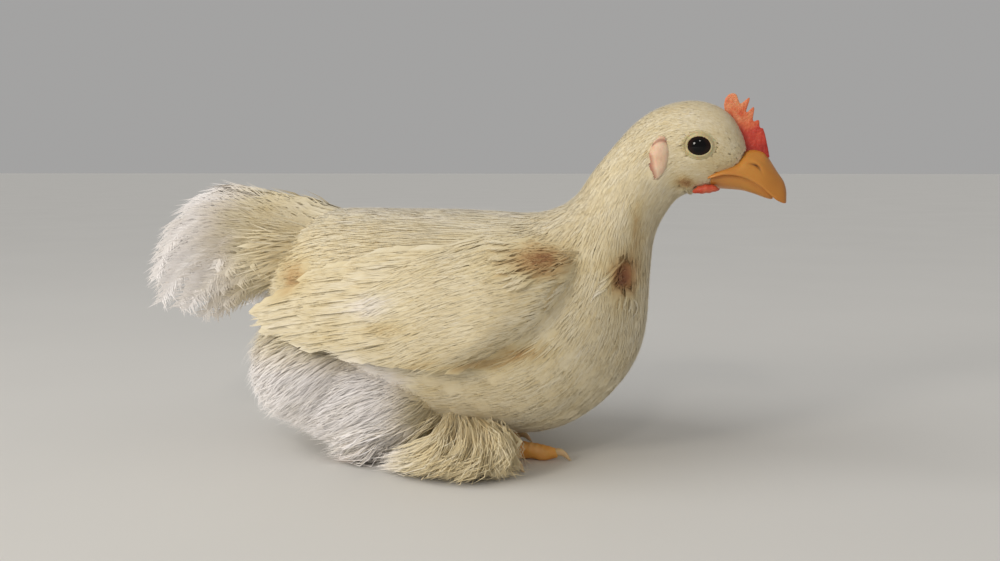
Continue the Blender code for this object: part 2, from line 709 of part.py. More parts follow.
def blob_point(centre, size, heading, level):
    """A point and the outward direction on an ellipsoid. heading 0 is straight back, 90 the right side."""
    turn, rise = math.radians(heading), math.radians(level)
    unit = Vector((-math.cos(turn) * math.cos(rise), -math.sin(turn) * math.cos(rise), math.sin(rise)))
    point = centre + Vector((unit.x * size.x, unit.y * size.y, unit.z * size.z))
    out = Vector((unit.x / size.x, unit.y / size.y, unit.z / size.z)).normalized()
    return point, out


def add_locks(centre, size, rows, back, collection):
    """Rows of locks over an ellipsoid, which lie along back."""
    for row, (level, first, last, count, length, width) in enumerate(rows):
        for i in range(count):
            t = (i + 0.5 * (row % 2)) / count
            heading = first + (last - first) * t + RANDOM.uniform(-LOCK_SCATTER, LOCK_SCATTER)
            rise = level + RANDOM.uniform(-LOCK_SCATTER, LOCK_SCATTER)
            point, out = blob_point(centre, size, heading, rise)
            lie = (back - out * back.dot(out)).normalized()
            lock(point - out * LOCK_SINK, out, lie, length * RANDOM.uniform(0.92, 1.08), width, collection)


def make_abdomen(cutters):
    abdomen = blob("abdomen", ABDOMEN_AT, ABDOMEN_SIZE, 0, "plumage_white")
    locks = new_collection("abdomen_locks")
    add_locks(ABDOMEN_AT, ABDOMEN_SIZE, ABDOMEN_LOCKS, ABDOMEN_LIE, locks)
    fuse(abdomen, locks)
    cut(abdomen, *cutters)
    return abdomen


def make_thigh():
    thigh = blob("thigh_right", THIGH_AT, THIGH_SIZE, 0, "plumage_white")
    locks = new_collection("thigh_locks")
    add_locks(THIGH_AT, THIGH_SIZE, THIGH_LOCKS, THIGH_LIE, locks)
    fuse(thigh, locks)
    return thigh


# Legs


def tube_ring(centre, ahead, radius, count=8):
    side = ahead.cross(Vector((0, 0, 1))).normalized()
    rise = side.cross(ahead).normalized()
    return oval_ring(centre, side, rise, radius, radius, radius, count)


def flat_sole(obj):
    """Cuts obj level with the floor, so that it stands on a small flat."""
    shape = bmesh.new()
    shape.from_mesh(obj.data)
    everything = list(shape.verts) + list(shape.edges) + list(shape.faces)
    found = bmesh.ops.bisect_plane(
        shape, geom=everything, plane_co=(0, 0, 0), plane_no=(0, 0, 1), clear_inner=True
    )
    rim = [edge for edge in found["geom_cut"] if isinstance(edge, bmesh.types.BMEdge)]
    bmesh.ops.holes_fill(shape, edges=rim, sides=0)
    bmesh.ops.triangulate(shape, faces=shape.faces)
    bmesh.ops.recalc_face_normals(shape, faces=shape.faces)
    shape.to_mesh(obj.data)
    shape.free()


def make_shank(torso_grown):
    """The shank lies on the floor from hock to toes, with the muff of feathers on its outer side."""
    along = TOE_ROOT_AT - HOCK_AT
    ahead = along.normalized()
    rings = []
    for t, share in SHANK_ROWS:
        rings.append(tube_ring(HOCK_AT + along * t, ahead, SHANK_RADIUS * share))
    shank = loft("shank_right", rings, "foot_scales")
    flat_sole(shank)
    muff = new_collection("muff")
    for i in range(MUFF_COUNT):
        add_muff_feather(i / (MUFF_COUNT - 1), along, muff)
    fuse(shank, muff)
    cut(shank, torso_grown)
    return shank


def add_muff_feather(t, along, muff):
    """A muff feather from the outer side of the shank. t runs from its hock end to the toes."""
    root = HOCK_AT + along * (MUFF_FIRST + (MUFF_LAST - MUFF_FIRST) * t) + MUFF_ROOT
    first, last = MUFF_HEADINGS
    heading = math.radians(first + (last - first) * t + RANDOM.uniform(-6, 6))
    lie = Vector((math.cos(heading), -math.sin(heading), 0))
    length = MUFF_LENGTH * (0.9 + 0.12 * math.sin(math.pi * t)) * RANDOM.uniform(0.93, 1.07)
    bend = root + lie * (length * 0.5) + Vector((0, 0, MUFF_ARCH * (1 - 0.3 * t)))
    end = root + lie * length
    end.z = FLOOR_CLEARANCE + MUFF_THICKNESS
    path = [curve_point(root, bend, end, stop) for stop in MUFF_STOPS]
    side = lie.cross(Vector((0, 0, 1))).normalized()
    blade(path, [side] * len(path), [MUFF_WIDTH * share for share in MUFF_SHARES], MUFF_THICKNESS, muff)


def toe_heading(digit):
    turn = math.radians(TOES[digit][0])
    return Vector((math.cos(turn), math.sin(turn), 0))


def make_toe(digit, toes):
    """A toe with its pads, from the middle of the foot out."""
    _, length, radius = TOES[digit]
    ahead = toe_heading(digit)
    rings = []
    last = TOE_RINGS - 1
    for i in range(TOE_RINGS):
        t = i / last
        swell = 1 - TOE_TAPER * t + (TOE_PAD if i % 2 else 0)
        thick = radius * swell * (0.6 if i == last else 1)
        height = thick * 0.9 + TOE_SLOPE * (1 - t)
        rings.append(tube_ring(FOOT_AT + ahead * (length * t) + Vector((0, 0, height)), ahead, thick))
    loft("toe", rings, None, toes)


def make_claw(digit):
    """The claw that curves down from a toe's tip."""
    _, length, radius = TOES[digit]
    ahead = toe_heading(digit)
    tip = FOOT_AT + ahead * (length + GAP)
    rings = []
    for t, share in CLAW_ROWS:
        height = radius * 0.6 + CLAW_DROP * (0.15 - t * t)
        centre = tip + ahead * (CLAW_LENGTH * t) + Vector((0, 0, height))
        rings.append(tube_ring(centre, ahead, CLAW_RADIUS * share, 6))
    lowest = min(point.z for ring in rings for point in ring)
    lift = Vector((0, 0, max(0.0, FLOOR_CLEARANCE * 0.5 - lowest)))
    claw = loft(f"claw_{digit}_right", [[point + lift for point in ring] for ring in rings], "claw_horn")
    mirrored(claw, f"claw_{digit}_left", FAR_LEG_SHIFT)


def make_foot(shank_grown):
    """Four toes joined at the ball of the foot, with a claw on each."""
    toes = new_collection("toes")
    centre = FOOT_AT + Vector((0, 0, BALL_SIZE.z))
    ball = blob("foot_right", centre, BALL_SIZE, 0, "foot_scales", rings=6, sides=10)
    for digit in TOES:
        make_toe(digit, toes)
        make_claw(digit)
    fuse(ball, toes, solver="MANIFOLD")
    flat_sole(ball)
    cut(ball, shank_grown, solver="MANIFOLD")
    mirrored(ball, "foot_left", FAR_LEG_SHIFT)


def centre_on_floor():
    """Moves the whole bird so that the origin is on the floor under the middle of its box."""
    corners = [obj.matrix_world @ vert.co for obj in PARTS.objects for vert in obj.data.vertices]
    middle = Vector((
        (min(c.x for c in corners) + max(c.x for c in corners)) / 2,
        (min(c.y for c in corners) + max(c.y for c in corners)) / 2,
        min(c.z for c in corners),
    ))
    for obj in PARTS.objects:
        obj.data.transform(Matrix.Translation(-middle))


def shade(obj):
    obj.data.shade_smooth()
    obj.data.set_sharp_from_angle(angle=math.radians(40))


def main():
    torso, neck, head = make_trunk()
    torso_grown = inflated(torso)
    make_head_parts(head, neck)

    wing = make_wing(torso_grown)
    left_wing = mirrored(wing, "wing_left")
    wing_wraps = (wrapped(wing), wrapped(left_wing))

    shank = make_shank(torso_grown)
    left_shank = mirrored(shank, "shank_left", FAR_LEG_SHIFT)
    shank_wraps = (wrapped(shank), wrapped(left_shank))
    make_foot(inflated(shank))

    thigh = make_thigh()
    left_thigh = mirrored(thigh, "thigh_left", FAR_THIGH_SHIFT)
    for obj, wing_wrap, shank_wrap in zip((thigh, left_thigh), wing_wraps, shank_wraps):
        cut(obj, torso_grown, wing_wrap, shank_wrap)
    tail = make_tail(torso_grown, wing_wraps)
    make_abdomen((
        torso_grown, *wing_wraps, *shank_wraps, wrapped(thigh), wrapped(left_thigh), inflated(tail),
    ))
    centre_on_floor()
    for obj in PARTS.objects:
        shade(obj)


RANDOM = random.Random(SEED)
clear_scene()
PARTS = new_collection("pekin_bantam")
CUTTERS = new_collection("cutters", shown=False)
MATERIALS = {name: new_material(name) for name in COLOURS}
main()
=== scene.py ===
import math

import bpy
import numpy as np
from mathutils import Matrix, Vector
from mathutils.kdtree import KDTree


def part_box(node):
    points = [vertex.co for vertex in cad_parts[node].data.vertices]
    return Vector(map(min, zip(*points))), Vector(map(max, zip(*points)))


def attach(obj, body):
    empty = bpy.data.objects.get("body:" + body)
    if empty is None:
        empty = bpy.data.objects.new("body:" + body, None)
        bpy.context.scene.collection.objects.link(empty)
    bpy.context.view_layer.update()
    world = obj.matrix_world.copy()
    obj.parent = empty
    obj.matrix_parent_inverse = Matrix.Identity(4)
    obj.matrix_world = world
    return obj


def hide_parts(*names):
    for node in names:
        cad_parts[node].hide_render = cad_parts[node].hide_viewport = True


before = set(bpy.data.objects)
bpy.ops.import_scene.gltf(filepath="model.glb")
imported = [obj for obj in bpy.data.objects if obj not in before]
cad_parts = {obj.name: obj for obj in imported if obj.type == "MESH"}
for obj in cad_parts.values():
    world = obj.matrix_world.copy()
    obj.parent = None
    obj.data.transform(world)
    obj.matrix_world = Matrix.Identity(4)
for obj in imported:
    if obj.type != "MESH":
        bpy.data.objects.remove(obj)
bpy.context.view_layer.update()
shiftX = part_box("bill_upper")[1].x - 0.1060  # the drawn bill ends at 0.1060
rng = np.random.default_rng(11)


# Camera at the photograph's place
camera = {"lens": 36, "at": (0.1006, -0.3302, 0.0972), "turn": (83.72, 0, 15)}

bpy.ops.object.camera_add(
    location=Vector(camera["at"]) + Vector((shiftX, 0, 0)),
    rotation=[math.radians(angle) for angle in camera["turn"]],
)
bpy.context.object.data.lens = camera["lens"]
bpy.context.scene.camera = bpy.context.object
print("camera placed")


# Materials
def linear(hexColour):  # an sRGB hex value as linear red, green, blue and alpha
    parts = [int(hexColour[i:i + 2], 16) / 255 for i in (1, 3, 5)]
    return [c / 12.92 if c <= 0.04045 else ((c + 0.055) / 1.055) ** 2.4 for c in parts] + [1]


def addNode(tree, kind, values=None, links=None, stops=(), into=None, **settings):
    node = tree.nodes.new("ShaderNode" + kind)
    for key, value in settings.items():
        setattr(node, key, value)
    for socket, value in (values or {}).items():
        node.inputs[socket].default_value = value
    for socket, source in (links or {}).items():  # a node stands for its first output
        output = source.outputs[0] if isinstance(source, bpy.types.Node) else source
        tree.links.new(output, node.inputs[socket])
    for i, (place, hexColour) in enumerate(stops):
        element = node.color_ramp.elements[i] if i < 2 else node.color_ramp.elements.new(place)
        element.position = place
        element.color = linear(hexColour)
    if into is not None:
        tree.links.new(node.outputs[0], into)
    return node


def newMaterial(name, **sockets):
    made = bpy.data.materials.new(name)
    made.use_nodes = True
    tree = made.node_tree
    shader = tree.nodes["Principled BSDF"]
    for socket, value in sockets.items():
        shader.inputs[socket.replace("_", " ")].default_value = value
    place = addNode(tree, "TexCoord").outputs["Object"]
    return made, tree, shader.inputs, place


# Feather keratin: matt, soft, and light comes through its edges
# tone runs from bare skin through cream to white, and painted shade lowers it
plumageTones = [
    (0.0, "#8E5F42"), (0.12, "#AE8355"), (0.28, "#CFB280"), (0.45, "#E0CFA4"),
    (0.62, "#EADFC2"), (0.80, "#F1E9DC"), (1.0, "#F7F3F1"),
]


def makePlumage(name, bumpy):
    made, tree, shader, place = newMaterial(
        name, Roughness=0.85, IOR=1.45, Sheen_Weight=0.30, Sheen_Roughness=0.5, Specular_IOR_Level=0.2)
    tone = addNode(tree, "Attribute", attribute_name="tone").outputs["Fac"]
    shade = addNode(tree, "Attribute", attribute_name="shade").outputs["Fac"]
    streaks = {"Rotation": (0, -0.44, 0), "Scale": (5, 1, 1)}  # they fall 25 degrees to the back
    grain = addNode(tree, "Mapping", streaks, {"Vector": place}, vector_type="TEXTURE")
    cloud = addNode(tree, "TexNoise", {"Scale": 230, "Detail": 3}, {"Vector": grain})  # 4 mm wide
    spread = addNode(tree, "MapRange", {"To Min": -0.13, "To Max": 0.13}, {"Value": cloud})
    total = addNode(tree, "Math", links={0: tone, 1: spread})
    ramp = addNode(tree, "ValToRGB", links={"Fac": total}, stops=plumageTones)
    dim = addNode(tree, "MapRange", {"To Min": 0.85, "To Max": 1.03}, {"Value": shade})
    addNode(tree, "VectorMath", links={0: ramp, 1: dim}, into=shader["Base Color"], operation="MULTIPLY")
    if bumpy:  # pores and stubble of the skin, 0.7 mm apart
        pores = addNode(tree, "TexVoronoi", {"Scale": 1400}, {"Vector": place})
        relief = {"Strength": 0.35, "Distance": 0.0003}
        addNode(tree, "Bump", relief, {"Height": pores}, into=shader["Normal"])
    return made


def makeComb():  # living red skin, moulded by small warts about 0.6 mm across, waxy where it is tight
    made, tree, shader, place = newMaterial(
        "combSkin", Roughness=0.42, IOR=1.42, Subsurface_Weight=0.35, Subsurface_Scale=0.003,
        Sheen_Weight=0.15,
    )
    split = addNode(tree, "SeparateXYZ", links={"Vector": place})
    noise = addNode(tree, "TexNoise", {"Scale": 260, "Detail": 4}, {"Vector": place})
    height = addNode(tree, "MapRange", {"From Min": 0.099, "From Max": 0.122}, {"Value": split.outputs["Z"]})
    mixed = addNode(tree, "Math", links={0: noise, 1: height})
    share = addNode(tree, "Math", {1: 0.62}, {0: mixed}, operation="MULTIPLY")
    addNode(tree, "ValToRGB", links={"Fac": share}, into=shader["Base Color"], stops=[
        (0.22, "#B84522"), (0.36, "#A82C22"), (0.55, "#C23F2C"), (0.72, "#D56A42"), (0.86, "#E39468"),
    ])
    warts = addNode(tree, "TexVoronoi", {"Scale": 1300}, {"Vector": place})
    addNode(tree, "Bump", {"Strength": 0.4, "Distance": 0.0003}, {"Height": warts}, into=shader["Normal"])
    return made


def makeHorn(name, stops, stretch, roughness):  # bill and claw horn: growth layers 0.4 mm wide, a low polish
    made, tree, shader, place = newMaterial(
        name, Roughness=roughness, IOR=1.54, Subsurface_Weight=0.18, Subsurface_Scale=0.002)
    layered = addNode(tree, "Mapping", {"Scale": stretch}, {"Vector": place})
    noise = addNode(tree, "TexNoise", {"Scale": 220, "Detail": 5}, {"Vector": layered})
    split = addNode(tree, "SeparateXYZ", links={"Vector": place})
    ends = {"From Min": 0.085 + shiftX, "From Max": 0.107 + shiftX}
    along = addNode(tree, "MapRange", ends, {"Value": split.outputs["X"]})
    spread = addNode(tree, "MapRange", {"To Min": -0.22, "To Max": 0.22}, {"Value": noise})
    share = addNode(tree, "Math", links={0: along, 1: spread})
    ramp = addNode(tree, "ValToRGB", links={"Fac": share}, stops=stops)
    # crease darkens the horn towards dark brown: painted shade in the nostril slit, and a darker band round
    # the lower half's root
    crease = addNode(tree, "Attribute", attribute_name="crease").outputs["Fac"]
    mixed = addNode(tree, "Mix", {7: linear("#5E2F14")}, {0: crease, 6: ramp}, data_type="RGBA")
    tree.links.new(mixed.outputs[2], shader["Base Color"])
    addNode(tree, "Bump", {"Strength": 0.25, "Distance": 0.0002}, {"Height": noise}, into=shader["Normal"])
    return made


def makeSkinned(name, stops, scale, roughness, bump, creased="#8E4A3C"):  # scaled or wrinkled bare skin
    made, tree, shader, place = newMaterial(
        name, Roughness=roughness, IOR=1.45, Subsurface_Weight=0.25, Subsurface_Scale=0.002)
    noise = addNode(tree, "TexNoise", {"Scale": 160, "Detail": 5}, {"Vector": place})
    ramp = addNode(tree, "ValToRGB", links={"Fac": noise}, stops=stops)
    # crease darkens towards the creased colour: painted shade in folds
    crease = addNode(tree, "Attribute", attribute_name="crease").outputs["Fac"]
    mixed = addNode(tree, "Mix", {7: linear(creased)}, {0: crease, 6: ramp}, data_type="RGBA")
    tree.links.new(mixed.outputs[2], shader["Base Color"])
    cells = addNode(tree, "TexVoronoi", {"Scale": scale}, {"Vector": place}, feature="SMOOTH_F1")
    relief = {"Strength": bump, "Distance": 0.0003}
    addNode(tree, "Bump", relief, {"Height": cells}, into=shader["Normal"], invert=True)
    return made


def makeEye():  # a wet cornea over a dark brown iris, 1.5 mm wide round the pupil
    made, tree, shader, place = newMaterial("wetEye", Roughness=0.03, IOR=1.30)
    rim = addNode(tree, "Attribute", attribute_name="iris").outputs["Fac"]
    noise = addNode(tree, "TexNoise", {"Scale": 900, "Detail": 3}, {"Vector": place})
    spread = addNode(tree, "MapRange", {"To Min": -0.04, "To Max": 0.04}, {"Value": noise})
    share = addNode(tree, "Math", links={0: rim, 1: spread})
    addNode(tree, "ValToRGB", links={"Fac": share}, into=shader["Base Color"], stops=[
        (0.0, "#040303"), (0.36, "#050303"), (0.42, "#180B06"), (0.62, "#221108"), (0.70, "#080403"),
    ])
    return made


plumage = makePlumage("featherKeratin", False)
bareSkin = makePlumage("chickenSkin", True)
combSkin = makeComb()
billHorn = makeHorn("billHorn", [
    (0.0, "#D08A3E"), (0.35, "#CF8D3A"), (0.7, "#C98431"), (1.0, "#B9762A"),
], (0.35, 1, 1), 0.36)
clawHorn = makeHorn("clawHorn", [(0.0, "#D9B98A"), (0.5, "#CDA873"), (1.0, "#E4CBA2")], (0.3, 1, 1), 0.32)
scaleSkin = makeSkinned(
    "footScales", [(0.3, "#D98F38"), (0.5, "#EBAB55"), (0.7, "#F2C07C")], 900, 0.45, 0.35)
lobeSkin = makeSkinned(
    "lobeSkin", [(0.3, "#DDB395"), (0.5, "#E6C6A8"), (0.7, "#EBD4BB")], 1500, 0.5, 0.3, "#B07A66")
wattleSkin = makeSkinned(
    "wattleSkin", [(0.3, "#A83A26"), (0.5, "#C2492F"), (0.7, "#CF6A4B")], 1600, 0.4, 0.4)
lidSkin = makeSkinned(
    "lidSkin", [(0.3, "#B7A577"), (0.5, "#C8B88B"), (0.7, "#D7C9A0")], 2200, 0.5, 0.5)
eyeWet = makeEye()
print("materials ready")


# Shapes
def smoothRows(rows, count):  # rows of numbers made into count rows along a Catmull-Rom curve
    rows = np.array(rows, float)
    t = np.linspace(0, len(rows) - 1, count)
    i = np.minimum(t.astype(int), len(rows) - 2)
    t = (t - i)[:, None]
    a, b, c, d = (rows[np.clip(i + k, 0, len(rows) - 1)] for k in (-1, 0, 1, 2))
    bent = (2 * a - 5 * b + 4 * c - d) * t ** 2
    return 0.5 * (2 * b + (c - a) * t + bent + (3 * b - a - 3 * c + d) * t ** 3)


def unit(v):
    return v / np.maximum(np.linalg.norm(v, axis=-1, keepdims=True), 1e-12)


def bothSides(points):  # the same points, all brought to the bird's left
    return np.stack([points[..., 0], np.abs(points[..., 1]), points[..., 2]], -1)


def onlyThis(obj):
    bpy.ops.object.select_all(action="DESELECT")
    obj.select_set(True)
    bpy.context.view_layer.objects.active = obj


def vertsOf(obj):
    flat = np.empty(len(obj.data.vertices) * 3)
    obj.data.vertices.foreach_get("co", flat)
    return flat.reshape(-1, 3)


def setVerts(obj, verts):
    obj.data.vertices.foreach_set("co", np.ascontiguousarray(verts, np.float32).ravel())
    obj.data.update()


def setPointValues(obj, name, values):
    layer = obj.data.attributes.new(name, "FLOAT", "POINT")
    layer.data.foreach_set("value", values.astype(np.float32).ravel())


def applyModifier(obj, kind, **settings):
    modifier = obj.modifiers.new(kind.lower(), kind)
    for key, value in settings.items():
        setattr(modifier, key, value)
    onlyThis(obj)
    bpy.ops.object.modifier_apply(modifier=modifier.name)


def editWhole(obj, **steps):  # edit-mode operators with their settings, each on the whole mesh
    onlyThis(obj)
    bpy.ops.object.mode_set(mode="EDIT")
    for operator, settings in steps.items():
        bpy.ops.mesh.select_all(action="SELECT")
        getattr(bpy.ops.mesh, operator)(**settings)
    bpy.ops.object.mode_set(mode="OBJECT")


def joinForms(target, others):
    onlyThis(target)
    for other in others:
        other.select_set(True)
    bpy.ops.object.join()


def ringForm(name, rings):  # a closed shell through rings of points, first made as a grid
    rings = np.array(rings, float)
    count, sides = rings.shape[:2]
    bpy.ops.object.select_all(action="DESELECT")
    bpy.ops.mesh.primitive_grid_add(x_subdivisions=sides, y_subdivisions=count - 1, size=2)
    shell = bpy.context.object
    shell.name = name
    flat = vertsOf(shell)
    i = np.rint((flat[:, 1] + 1) / 2 * (count - 1)).astype(int)
    j = np.rint((flat[:, 0] + 1) / 2 * sides).astype(int) % sides
    setVerts(shell, rings[i, j])
    closing = {"remove_doubles": {"threshold": 1e-6}, "fill_holes": {"sides": 0}}
    editWhole(shell, **closing, normals_make_consistent={"inside": False})
    return shell


def ball(name, at, size, segments=32, rings=20):
    bpy.ops.object.select_all(action="DESELECT")
    bpy.ops.mesh.primitive_uv_sphere_add(segments=segments, ring_count=rings, radius=1)
    made = bpy.context.object
    made.name = name
    setVerts(made, vertsOf(made) * np.array(size) + np.array(at))
    return made


def finishPiece(obj, material, replaced):
    obj.data.transform(Matrix.Translation((shiftX, 0, 0)))
    obj.data.materials.clear()
    obj.data.materials.append(material)
    onlyThis(obj)
    bpy.ops.object.shade_smooth()
    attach(obj, "root")
    if replaced:
        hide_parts(*replaced)


def mirroredPiece(obj, name, shift):  # the left-hand twin, before either is finished
    onlyThis(obj)
    bpy.ops.object.duplicate()
    made = bpy.context.object
    made.name = name
    setVerts(made, vertsOf(made) * np.array((1, -1, 1)) + np.array(shift))
    editWhole(made, flip_normals={})
    return made


# Body: the outside of the plumage, as stations from the rump to the face
body = {
    "rows": [  # x, z, tilt in degrees, half width, height above, depth below
        (-0.068, 0.060, -6, 0.008, 0.008, 0.010), (-0.062, 0.058, -4, 0.019, 0.019, 0.021),
        (-0.052, 0.056, -2, 0.027, 0.027, 0.029), (-0.040, 0.053, 0, 0.033, 0.031, 0.034),
        (-0.024, 0.050, 0, 0.038, 0.034, 0.037), (-0.006, 0.0475, 0, 0.040, 0.0365, 0.0385),
        (0.011, 0.046, 2, 0.040, 0.0375, 0.0380), (0.025, 0.047, 9, 0.038, 0.0365, 0.0380),
        (0.036, 0.0505, 20, 0.0345, 0.0345, 0.0335), (0.045, 0.058, 35, 0.029, 0.031, 0.026),
        (0.0505, 0.069, 48, 0.0235, 0.024, 0.0165), (0.0535, 0.0785, 54, 0.0185, 0.018, 0.0125),
        (0.057, 0.087, 52, 0.0155, 0.016, 0.0115), (0.062, 0.0955, 48, 0.0138, 0.0145, 0.012),
        (0.0675, 0.1015, 33, 0.0130, 0.0146, 0.0140), (0.073, 0.104, 12, 0.0130, 0.0150, 0.0148),
        (0.079, 0.1045, -3, 0.0126, 0.0145, 0.0142), (0.085, 0.103, -12, 0.0108, 0.0125, 0.0118),
        (0.0895, 0.101, -22, 0.0078, 0.0075, 0.0078), (0.092, 0.0995, -26, 0.0040, 0.0040, 0.0040),
    ],
    "stations": 240, "sides": 128,
    # coat depth by station row: rump, back, breast, neck, head
    "depth": [(0, 0.0030), (6, 0.0030), (9, 0.0026), (11, 0.0018), (13, 0.0011), (14, 0.0008), (19, 0.0006)],
}


def ovalRings(rows, sides):
    x, z, tilt, half, up, down = (rows[:, i, None] for i in range(6))
    turn = np.radians(tilt)
    angle = 2 * np.pi * np.arange(sides) / sides
    height = np.sin(angle) * np.where(np.sin(angle) > 0, up, down)
    return np.stack([x - np.sin(turn) * height, np.cos(angle) * half, z + np.cos(turn) * height], -1)


def gridNormals(grid):
    along = np.gradient(grid, axis=0)
    around = np.roll(grid, -1, 1) - np.roll(grid, 1, 1)
    normals = unit(np.cross(around, along))
    normals[0], normals[-1] = normals[1], normals[-2]
    return normals


bodyOut = ovalRings(smoothRows(body["rows"], body["stations"]), body["sides"])
bodyNormal = gridNormals(bodyOut)
perRow = (body["stations"] - 1) / (len(body["rows"]) - 1)  # stations to a row
bodyDepth = np.interp(np.arange(body["stations"]) / perRow, *zip(*body["depth"]))


def bodyAt(s, theta, grid):  # values of a grid at station s and side theta, both counted in grid steps
    s = np.clip(s, 0, body["stations"] - 1.001)
    i, j = s.astype(int), np.floor(theta).astype(int)
    u, v = (s - i)[..., None], (theta - j)[..., None]
    a, b = j % body["sides"], (j + 1) % body["sides"]
    low = grid[i, a] * (1 - v) + grid[i, b] * v
    return low * (1 - u) + (grid[i + 1, a] * (1 - v) + grid[i + 1, b] * v) * u


# Bake map: round the body and along it, with the seam under the belly
unwrap = {
    "tailEnd": (-0.135, 0.062, -6, 0, 0, 0), "rows": 90, "rowStep": 0.0035, "batch": 20000,
    "margin": 0.03, "wide": 0.94, "tall": 0.92, "patch": 0.003,  # shares of the map, and a feather's patch
}


def unwrapAt(points):
    rows = smoothRows([unwrap["tailEnd"]] + body["rows"], unwrap["rows"])
    centres = np.stack([rows[:, 0], 0 * rows[:, 0], rows[:, 1]], -1)
    tilt = np.radians(rows[:, 2])
    flat = points.reshape(-1, 3)
    near = np.concatenate([
        ((flat[start:start + unwrap["batch"], None] - centres) ** 2).sum(-1).argmin(1)
        for start in range(0, len(flat), unwrap["batch"])
    ])
    off = flat - centres[near]
    rise = off[:, 2] * np.cos(tilt[near]) - off[:, 0] * np.sin(tilt[near])
    turn = (np.arctan2(rise, off[:, 1]) + np.pi / 2) % (2 * np.pi) / (2 * np.pi)
    along = off[:, 0] * np.cos(tilt[near]) + off[:, 2] * np.sin(tilt[near])
    station = (near + np.clip(along / unwrap["rowStep"], -0.5, 0.5)) / unwrap["rows"]
    return unwrap["margin"] + np.stack([unwrap["wide"] * turn, unwrap["tall"] * station], -1)


def setBakeMap(obj, cornerUv):
    bakeMap = obj.data.uv_layers.new(name="OFBake")
    bakeMap.data.foreach_set("uv", np.ascontiguousarray(np.clip(cornerUv, 0, 1), np.float32).ravel())


# Markings and painted shade: 0 bare skin, 0.5 cream, 1 white. Each patch is a place, a reach and a tone, alike
# on both sides; some patches are painted shade or shadow
markingsAndShade = {
    "cream": 0.54, "white": 0.98,
    "whiteTail": (-0.072, -0.096),  # x where the tail starts to whiten, and where it is white
    "whiteFluff": (0.042, 0.030),  # the same for the height of the belly fluff
    "fluffFront": (-0.004, 0.016),  # x where the white fluff starts, and how far it fades in
    "patches": [
        ((-0.0200, 0.0, 0.0850), (0.060, 0.035, 0.009), 0.14),  # paler along the back
        ((-0.0530, 0.026, 0.0615), (0.0075, 0.016, 0.0065), -0.36),  # painted ochre shade in the hollow between wing and tail
        ((-0.0760, 0.010, 0.0790), (0.012, 0.020, 0.006), -0.10),  # over the tail's root
        ((0.0340, 0.036, 0.0702), (0.0105, 0.016, 0.0056), -0.45),  # bare shoulder
        ((0.0572, 0.018, 0.0640), (0.0046, 0.012, 0.0066), -0.56),  # bare neck base
        ((0.0605, 0.015, 0.0790), (0.0016, 0.010, 0.0080), -0.25),  # painted shade in the crease above it
        ((-0.0185, 0.046, 0.0555), (0.0075, 0.012, 0.0036), 0.26),  # white tips of the coverts
        ((-0.0110, 0.045, 0.0488), (0.0080, 0.010, 0.0020), -0.20),  # painted shadow under them
        ((-0.0600, 0.030, 0.0460), (0.010, 0.014, 0.0060), 0.12),  # pale wing tip
        ((0.0750, 0.0095, 0.0932), (0.0030, 0.006, 0.0018), -0.50),  # painted shadow in the hollow behind the gape
        ((0.0850, 0.0090, 0.0985), (0.0050, 0.006, 0.0045), -0.14),  # lores
        ((0.0290, 0.038, 0.0415), (0.0075, 0.012, 0.0022), -0.36),  # painted pinkish shadow under the wing's edge, here and in the next two rows
        ((0.0170, 0.040, 0.0380), (0.0080, 0.012, 0.0018), -0.30),
        ((-0.0020, 0.041, 0.0372), (0.0160, 0.012, 0.0016), -0.20),
    ],
}


def toneAt(points):
    x, z = points[..., 0], points[..., 2]
    start, end = markingsAndShade["whiteTail"]
    tail = np.clip((x - start) / (end - start), 0, 1)
    top, low = markingsAndShade["whiteFluff"]
    front, fade = markingsAndShade["fluffFront"]
    fluff = np.clip((z - top) / (low - top), 0, 1) * np.clip((front - x) / fade, 0, 1)
    tone = markingsAndShade["cream"] + (markingsAndShade["white"] - markingsAndShade["cream"]) * np.maximum(tail, fluff)
    for at, reach, change in markingsAndShade["patches"]:
        away = (((bothSides(points) - np.array(at)) / np.array(reach)) ** 2).sum(-1)
        tone = tone + change * np.exp(-away)
    return np.clip(tone, 0.02, 1)


# Skin: trunk, tail root, thighs and belly in one form
skin = {
    "voxel": 0.0011, "tone": -0.03, "shade": 0.8,
    "lumps": [  # middle and half sizes; those off the middle line are made on both sides
        ((-0.064, 0, 0.0700), (0.019, 0.0145, 0.0105)),  # tail root
        ((-0.046, 0, 0.0300), (0.028, 0.032, 0.022)),  # belly
        ((-0.027, -0.0240, 0.0225), (0.021, 0.0095, 0.0135)),  # thigh
        ((0.006, -0.0375, 0.0560), (0.028, 0.0058, 0.0140)),  # wing
        ((0.0305, -0.0270, 0.0708), (0.0068, 0.0056, 0.0030)),  # bare shoulder, and its front
        ((0.0365, -0.0255, 0.0686), (0.0054, 0.0052, 0.0036)),
        ((0.0560, -0.0127, 0.0642), (0.0050, 0.0052, 0.0060)),  # bare neck base
    ],
}

skinForm = ringForm("skin", (bodyOut - bodyNormal * bodyDepth[:, None, None])[2:, ::2])
lumps = []
for (x, y, z), size in skin["lumps"]:
    lumps += [ball("lump", (x, side * y, z), size) for side in ((1, -1) if y else (1,))]
joinForms(skinForm, lumps)
applyModifier(skinForm, "REMESH", mode="VOXEL", voxel_size=skin["voxel"])
applyModifier(skinForm, "SMOOTH", factor=0.5, iterations=4)

